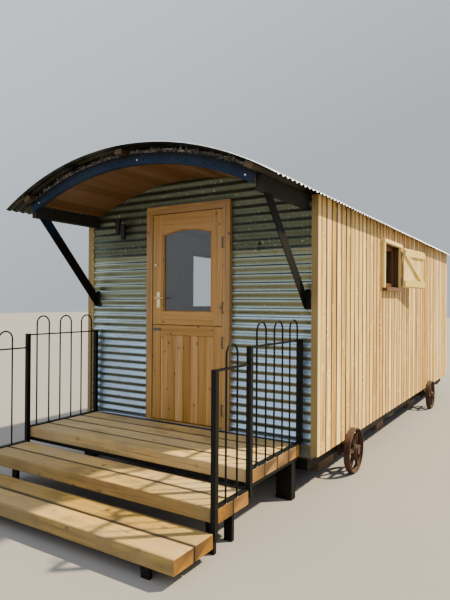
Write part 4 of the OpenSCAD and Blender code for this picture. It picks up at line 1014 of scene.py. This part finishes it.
def make_sleepers(name, node, rows):
    """rows is a list of (lowest y, top z) of sleepers, each as long as the node is wide."""
    shape = Shape()
    low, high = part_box(node)
    outline = sleeper_outline()
    half_wide, half_thick, trim, steps = SLEEPER_WIDTH / 2, SLEEPER_THICK / 2, 0.004, 30
    places = [low[0], low[0] + 0.003] + [low[0] + (high[0] - low[0]) * k / steps for k in range(1, steps)]
    places += [high[0] - 0.003, high[0]]
    for front, top in rows:
        dirt = []
        for y, _, on_face in outline:
            neighbour = front + (SLEEPER_PITCH if y > half_wide else -SLEEPER_PITCH)
            in_gap = any(abs(other - neighbour) < 0.001 and level == top for other, level in rows)
            # The upright faces are painted darker: 0.8 where they face a neighbour across a gap, painted
            # shade there; elsewhere 0.35 on the steps and 0.2 on the deck, painted shade of faces turned
            # from the sun with some weathering.
            dirt.append(0.0 if on_face else 0.8 if in_gap else 0.35 if low[2] < 0.1 else 0.2)
        waves = [(dice.uniform(0.3, 1.4), dice.uniform(0, 6.28), dice.uniform(0.0002, 0.0007))
                 for _ in range(6)]
        rings = []
        for x in places:
            cut = trim if x in (low[0], high[0]) else 0.0
            ring = []
            for y, z, _ in outline:
                sway = sum(size * sin(2 * pi * x * rate + phase + 9 * (y + z))
                           for rate, phase, size in waves)
                inward = 1 - min(0.004, abs(sway)) / 0.05 - cut / SLEEPER_WIDTH
                ring.append((x, front + half_wide + (y - half_wide) * inward,
                             top - half_thick + (z - half_thick) * (1 - cut / SLEEPER_THICK)))
            rings.append(ring)
        points, faces = lofted(rings)
        shape.add(points, faces, along="x", slot=[1, 1] + [0] * (len(faces) - 2), spread=0.03,
                  soil=dirt * len(places))
    shape.make(name, "sleeper_timber", [sleeper_wood, end_wood], replaces=[node])


def make_decks():
    deck_low, deck_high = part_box("deck_sleepers")
    make_sleepers("deck_timbers", "deck_sleepers",
                  [(deck_low[1] + SLEEPER_PITCH * k, deck_high[2]) for k in range(4)])
    steps = ((1.313, 0.304), (1.757, 0.169))
    make_sleepers("step_timbers", "step_sleepers",
                  [(FRONT - reach + SLEEPER_PITCH * k, top) for reach, top in steps for k in range(2)])


# Door

def framed(shape, form, low_y, high_y, along, tone, side=1):
    """One member of a door or frame: a rectangle x0, z0, x1, z1, or an outline of x and z."""
    if isinstance(form, tuple):
        x0, z0, x1, z1 = form
        shape.box((x0, low_y, z0), (x1, high_y, z1), 0.0012, along=along, tone=tone, side=side)
    else:
        shape.add(*extruded(form, "y", low_y, high_y), along=along, tone=tone, side=side)


def lug(shape, pin, height, tongue, side=1):
    """A fixed hinge knuckle round the pin, and its tongue, given as x0, y0, x1, y1 off the pin."""
    x0, y0, x1, y1 = tongue
    shape.add(*revolved([(0, 0), (0.006, 0), (0.006, height), (0, height)], pin, "z", 20), tone=0.5,
              side=side)
    shape.box((pin[0] + x0, pin[1] + y0, pin[2]), (pin[0] + x1, pin[1] + y1, pin[2] + height), 0.0008,
              tone=0.5, side=side)


def make_door_frame():
    shape, lugs = Shape(), Shape()
    back, stop, head = FRONT + 0.130, FRONT + 0.037, FRAME_TOP - 0.074
    stop_reach, sill_thick = 0.012, 0.009
    jamb = [(DOOR_HALF, FLOOR_TOP), (FRAME_HALF, FLOOR_TOP), (FRAME_HALF, FRAME_TOP - 0.0006),
            (DOOR_HALF, head - 0.0006)]
    for side in (1, -1):
        framed(shape, jamb, FRAME_FACE, back, "z", 0.35, side)
        framed(shape, (DOOR_HALF - stop_reach, FLOOR_TOP + sill_thick, DOOR_HALF, head), stop, back, "z",
               0.2, side)
    top = [(-DOOR_HALF, head), (DOOR_HALF, head), (FRAME_HALF, FRAME_TOP), (-FRAME_HALF, FRAME_TOP)]
    framed(shape, top, FRAME_FACE, back, "x", 0.4)
    framed(shape, (-DOOR_HALF, head - stop_reach, DOOR_HALF, head), stop, back, "x", 0.2)
    nose = FRAME_FACE - 0.006
    sill = [(nose, FLOOR_TOP), (back, FLOOR_TOP), (back, FLOOR_TOP + sill_thick),
            (FRONT - 0.012, FLOOR_TOP + sill_thick), (nose, FLOOR_TOP + 0.004)]
    shape.add(*extruded(sill, "x", -DOOR_HALF, DOOR_HALF), along="x", tone=0.1)
    shape.make("door_frame_timber", "varnished_pine", [frame_wood], replaces=["door_frame"])
    for middle, off in product((2.160, 1.560, 1.240, 0.620), (-0.0535, 0.0425)):
        lug(lugs, (0.413, FRONT - 0.028, middle + off), 0.011, (0.003, -0.003, 0.016, 0.009))
    lugs.make("hinge_lugs", "varnished_pine", [hinge_steel])


def pane_arch(steps=20):
    """The pane's outline in x and z, counterclockwise from its lower left."""
    radius = (PANE_HALF ** 2 + PANE_RISE ** 2) / (2 * PANE_RISE)
    xs = [PANE_HALF - 2 * PANE_HALF * k / steps for k in range(steps + 1)]
    arch = [(x, PANE_SPRING + PANE_RISE - radius + sqrt(radius ** 2 - x ** 2)) for x in xs]
    return [(-PANE_HALF, PANE_FOOT), (PANE_HALF, PANE_FOOT)] + arch


def make_upper_leaf():
    """Stiles and rails, with thinner members next to the pane and a bead on each side of it."""
    shape = Shape()
    (_, front, low), (half, back, high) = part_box("upper_leaf")
    inner, gap, rail_low, rail_high = 0.304, 0.0003, 1.441, 2.362
    thin_front, thin_back = front + 0.0015, back - 0.0015
    beside_pane = (PANE_HALF + 0.0002, rail_low + 0.0784, inner - 0.0002, rail_high - 0.094)
    for side in (1, -1):
        framed(shape, (inner, low, half, high), front, back, "z", 0.55, side)
        framed(shape, beside_pane, thin_front, thin_back, "z", 0.4, side)
    left, right = gap - inner, inner - gap
    framed(shape, (left, rail_high + 0.0002, right, high), front, back, "x", 0.5)
    framed(shape, (left, low, right, rail_low - 0.0002), front, back, "x", 0.45)
    framed(shape, (left, rail_low, right, PANE_FOOT), thin_front, thin_back, "x", 0.6)
    arch = pane_arch()[2:]
    head = [(right, rail_high), (right, arch[0][1])] + arch + [(left, arch[-1][1]), (left, rail_high)]
    framed(shape, head, thin_front, thin_back, "x", 0.55)
    for y in ((front + back) / 2 - 0.009, (front + back) / 2 + 0.009):
        path = [(x * 0.988, y, PANE_FOOT + (z - PANE_FOOT) * 0.992 + 0.003) for x, z in pane_arch()]
        shape.add(*tube(path + path[:1], 0.0055, 6), tone=0.3)
    shape.make("upper_leaf_timber", "varnished_pine", [varnish], body="door_upper", replaces=["upper_leaf"])


def make_lower_leaf():
    """Two stiles and a rail round seven boards."""
    shape = Shape()
    (_, front, low), (half, back, high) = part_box("lower_leaf")
    tones = (0.75, 0.35, 0.95, 0.15, 0.8, 0.45, 0.6)
    stile, gap, groove = 0.095, 0.0003, 0.0042
    inner = half - stile
    for side in (1, -1):
        framed(shape, (inner, low, half, high), front, back, "z", 0.5, side)
    framed(shape, (gap - inner, high - stile, inner - gap, high), front, back, "x", 0.35)
    pitch = 2 * inner / len(tones)
    for k, tone in enumerate(tones):
        x = k * pitch - inner
        shape.box((x + 0.0004, front + 0.007, low), (x + pitch - 0.0004, back - 0.007, high - stile - gap),
                  groove, tone=tone)
    shape.make("lower_leaf_timber", "varnished_pine", [varnish], body="door_lower", replaces=["lower_leaf"])


# Windows and shutters

def make_casings():
    shape, lugs = Shape(), Shape()
    wide = 0.050
    for side, (window_low, window_foot, _) in WINDOWS.items():
        for low in (window_low - wide, WINDOW_HIGH):
            shape.box((HALF, low, window_foot - 0.010), (CASING_FACE, low + wide, WINDOW_HEAD - 0.0005),
                      0.002, side=side)
        shape.box((HALF, window_low - wide - 0.006, WINDOW_HEAD),
                  (CASING_FACE + 0.006, WINDOW_HIGH + wide + 0.006, WINDOW_HEAD + 0.040), 0.002, along="y",
                  side=side)
        for middle, off in product((window_foot + 0.090, WINDOW_HEAD - 0.090), (-0.043, 0.031)):
            lug(lugs, (*SHUTTER_PIN[:2], middle + off), 0.012, (-0.009, 0.003, 0.003, 0.014), side)
    shape.make("casing_boards", "larch_boards", [yellow], replaces=["window_casings"])
    lugs.make("shutter_lugs", "larch_boards", [hinge_steel])


def make_reveals():
    """Stained lining boards round each window opening, in front of its frame, colored darker than the stain
    as painted shade inside the reveal.
    """
    shape = Shape()
    inner, outer, thick = HALF - 0.0599, HALF + 0.0002, 0.0035
    for side, (low, window_foot, _) in WINDOWS.items():
        foot, high, head = window_foot + 0.009, WINDOW_HIGH, WINDOW_HEAD
        for a, b, c, d, along in ((low, low + thick, foot, head, "z"),
                                  (high - thick, high, foot, head, "z"),
                                  (low + thick, high - thick, head - thick, head, "y")):
            shape.box((inner, a, c), (outer, b, d), 0.0008, along=along, side=side)
    shape.make("window_reveals", "red_brown_frame", [shaded_reveal_wood])


def make_shutter(side, body, node, boards):
    """Boards, ledges and brace, drawn as closed and swung open about the hinge pin."""
    shape = Shape()
    window_low, window_foot, turned = WINDOWS[side]
    board_x, ledge_x = CASING_FACE - 0.018, CASING_FACE - 0.038
    low, high = window_low + 0.006, WINDOW_HIGH - 0.006
    foot, head = window_foot + 0.008, WINDOW_HEAD - 0.006
    for k in range(boards):
        a, b = (low + (high - low) * j / boards for j in (k, k + 1))
        shape.box((board_x, a + 0.0002, foot), (CASING_FACE, b - 0.0002, head), 0.003)
    for a, b in ((foot + 0.014, foot + 0.094), (head - 0.094, head - 0.014)):
        outline = [(low, a + 0.010), (low + 0.012, a), (high - 0.012, a), (high, a + 0.010),
                   (high, b - 0.010), (high - 0.012, b), (low + 0.012, b), (low, b - 0.010)]
        shape.add(*extruded(outline, "x", ledge_x, board_x), along="y")
    brace = [(high - 0.020, head - 0.0942), (low + 0.135, foot + 0.0942), (low + 0.020, foot + 0.0942),
             (high - 0.135, head - 0.0942)]
    shape.add(*extruded(brace, "x", ledge_x, board_x), along="y", tone=0.4)
    barrel = [(0, -0.030), (0.006, -0.030), (0.006, 0.030), (0, 0.030)]
    pin_x, pin_y, _ = SHUTTER_PIN
    for middle in (window_foot + 0.090, WINDOW_HEAD - 0.090):
        shape.add(*revolved(barrel, (pin_x, pin_y, middle), "z", 20), slot=1)
        shape.box((CASING_FACE, pin_y - 0.180, middle - 0.014),
                  (CASING_FACE + 0.004, pin_y, middle + 0.014), 0.001, slot=1)
    swing = Matrix.Translation(SHUTTER_PIN) @ Matrix.Rotation(radians(turned), 4, "Z")
    swing = Matrix.Scale(side, 4, (1, 0, 0)) @ swing @ Matrix.Translation(-SHUTTER_PIN)
    shape.make(f"{node}_boards", "larch_boards", [yellow, hinge_steel], body=body, replaces=[node],
               moved=swing)


def make_shutters():
    make_shutter(1, "shutter_r", "shutter_right", 6)
    make_shutter(-1, "shutter_l", "shutter_left", 7)


# Floor of the room, and small fittings

def make_floor_boards():
    """The floor's core, its part in the doorway and the underside, with boards on top. The core and
    underside are painted nearly black, a painted shade.
    """
    shape = Shape()
    low_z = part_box("floor")[0][2]
    wall, board_foot, count = HALF - 0.120, FLOOR_TOP - 0.018, 18
    inner_low, inner_high = FRONT + 0.130, BACK - 0.130
    # the core and the underside are painted nearly black (0.85) as painted shade; the doorway part is not
    for half, low_y, high_y, top, soil in ((wall, inner_low, inner_high, board_foot, 0.85),
                                           (FRAME_HALF, FRONT + 0.030, inner_low, FLOOR_TOP, 0.0),
                                           (1.277, FRONT + 0.013, BACK - 0.013, FOOT, 0.85)):
        shape.box((-half, low_y, low_z), (half, high_y, top), 0.001, along="y", tone=0.3, soil=[soil] * 24)
    for k in range(count):
        a, b = (2 * wall * j / count - wall for j in (k, k + 1))
        shape.box((a + 0.0006, inner_low, board_foot), (b - 0.0006, inner_high, FLOOR_TOP), along="y")
    shape.make("floor_boards", "pine_boards", [boards_wood], replaces=["floor"])


def make_arch_bolts():
    shape = Shape()
    for angle in (-24.3, 2.24, 24.87):
        shape.screw(on_roof(ARCH_INNER + 0.036, radians(angle), ARCH_FACE), (0, -1, 0), radius=0.0045)
    shape.make("arch_bolts", "blue_steel", [bright_bolt])


def make_arch_plugs():
    """Near-black plugs recessed in the arch's holes, which are in six groups of three: a painted shade for
    the dark inside of the holes.
    """
    shape = Shape()
    profile = [(0, 0.0032), (0.0035, 0.0032), (0.0045, 0.0022), (0.0057, 0.0022), (0.0057, 0.0055),
               (0, 0.0055)]
    group_step, hole_step, middle = 7.5, 1.9, ARCH_INNER + 0.42 * ARCH_DEPTH
    for group, hole in product((-2.5, -1.5, -0.5, 0.5, 1.5, 2.5), (-1, 0, 1)):
        centre = on_roof(middle, radians(group * group_step + hole * hole_step), ARCH_FACE)
        shape.add(*revolved(profile, centre, "y", 14), tone=0.5)
    shape.make("arch_hole_shade_plugs", "black_steel", [hole_shade_paint])


def make_lenses():
    """Clear lenses inside the open ends of the wall light's tubes."""
    shape = Shape()
    profile = [(0, -0.0015), (0.020, -0.0015), (0.0257, -0.0005), (0.0257, 0.002), (0.018, 0.003),
               (0, 0.0036)]
    for x, z in ((-0.855, 2.463), (-0.785, 2.263)):
        shape.add(*revolved(profile, (x, FRONT - 0.045, z), "z", 28), tone=0.5)
    shape.make("light_lenses", "window_glass", [window_glass])


def make_weld_beads():
    """Bright beads on the outer edge of the bottom rails, one at each foot of a hoop."""
    shape = Shape()
    hoop_half = 0.071
    # how far each hoop's middle is in front of the wall, and the height of its bottom rail
    middles = [(0.43575 - 0.278 * (k - 1), 0.437) for k in range(3)] + [(1.1265, 0.309)]
    for (reach, z), leg, side in product(middles, (-1, 1), (1, -1)):
        place = (side * 1.2, FRONT - reach + hoop_half * leg, z)
        shape.screw(place, (side, 0, 0), radius=0.0028, height=0.0016)
    shape.make("weld_beads", "black_steel", [bright_bolt])


def make_floor():
    """The studio's plain floor."""
    reach = 60
    mesh = bpy.data.meshes.new("studio_floor")
    mesh.from_pydata([(-reach, -reach, 0), (reach, -reach, 0), (reach, reach, 0), (-reach, reach, 0)], [],
                     [[0, 1, 2, 3]])
    f = Finish("studio_floor", Base_Color=(0.255, 0.238, 0.222, 1), Roughness=0.9)
    mesh.materials.append(f.material)
    placed("studio_floor", mesh)


for step in (set_camera, set_light, make_floor, dress_nodes, make_roof, make_roof_screws, make_purlins,
             make_struts, make_ceiling, make_wool, make_gable, make_rear_gable, make_gable_screws,
             make_flashing, make_side_boards, make_nails, make_corner_posts, make_decks, make_door_frame,
             make_upper_leaf, make_lower_leaf, make_casings, make_reveals, make_shutters,
             make_floor_boards, make_arch_bolts, make_arch_plugs, make_lenses, make_weld_beads):
    step()
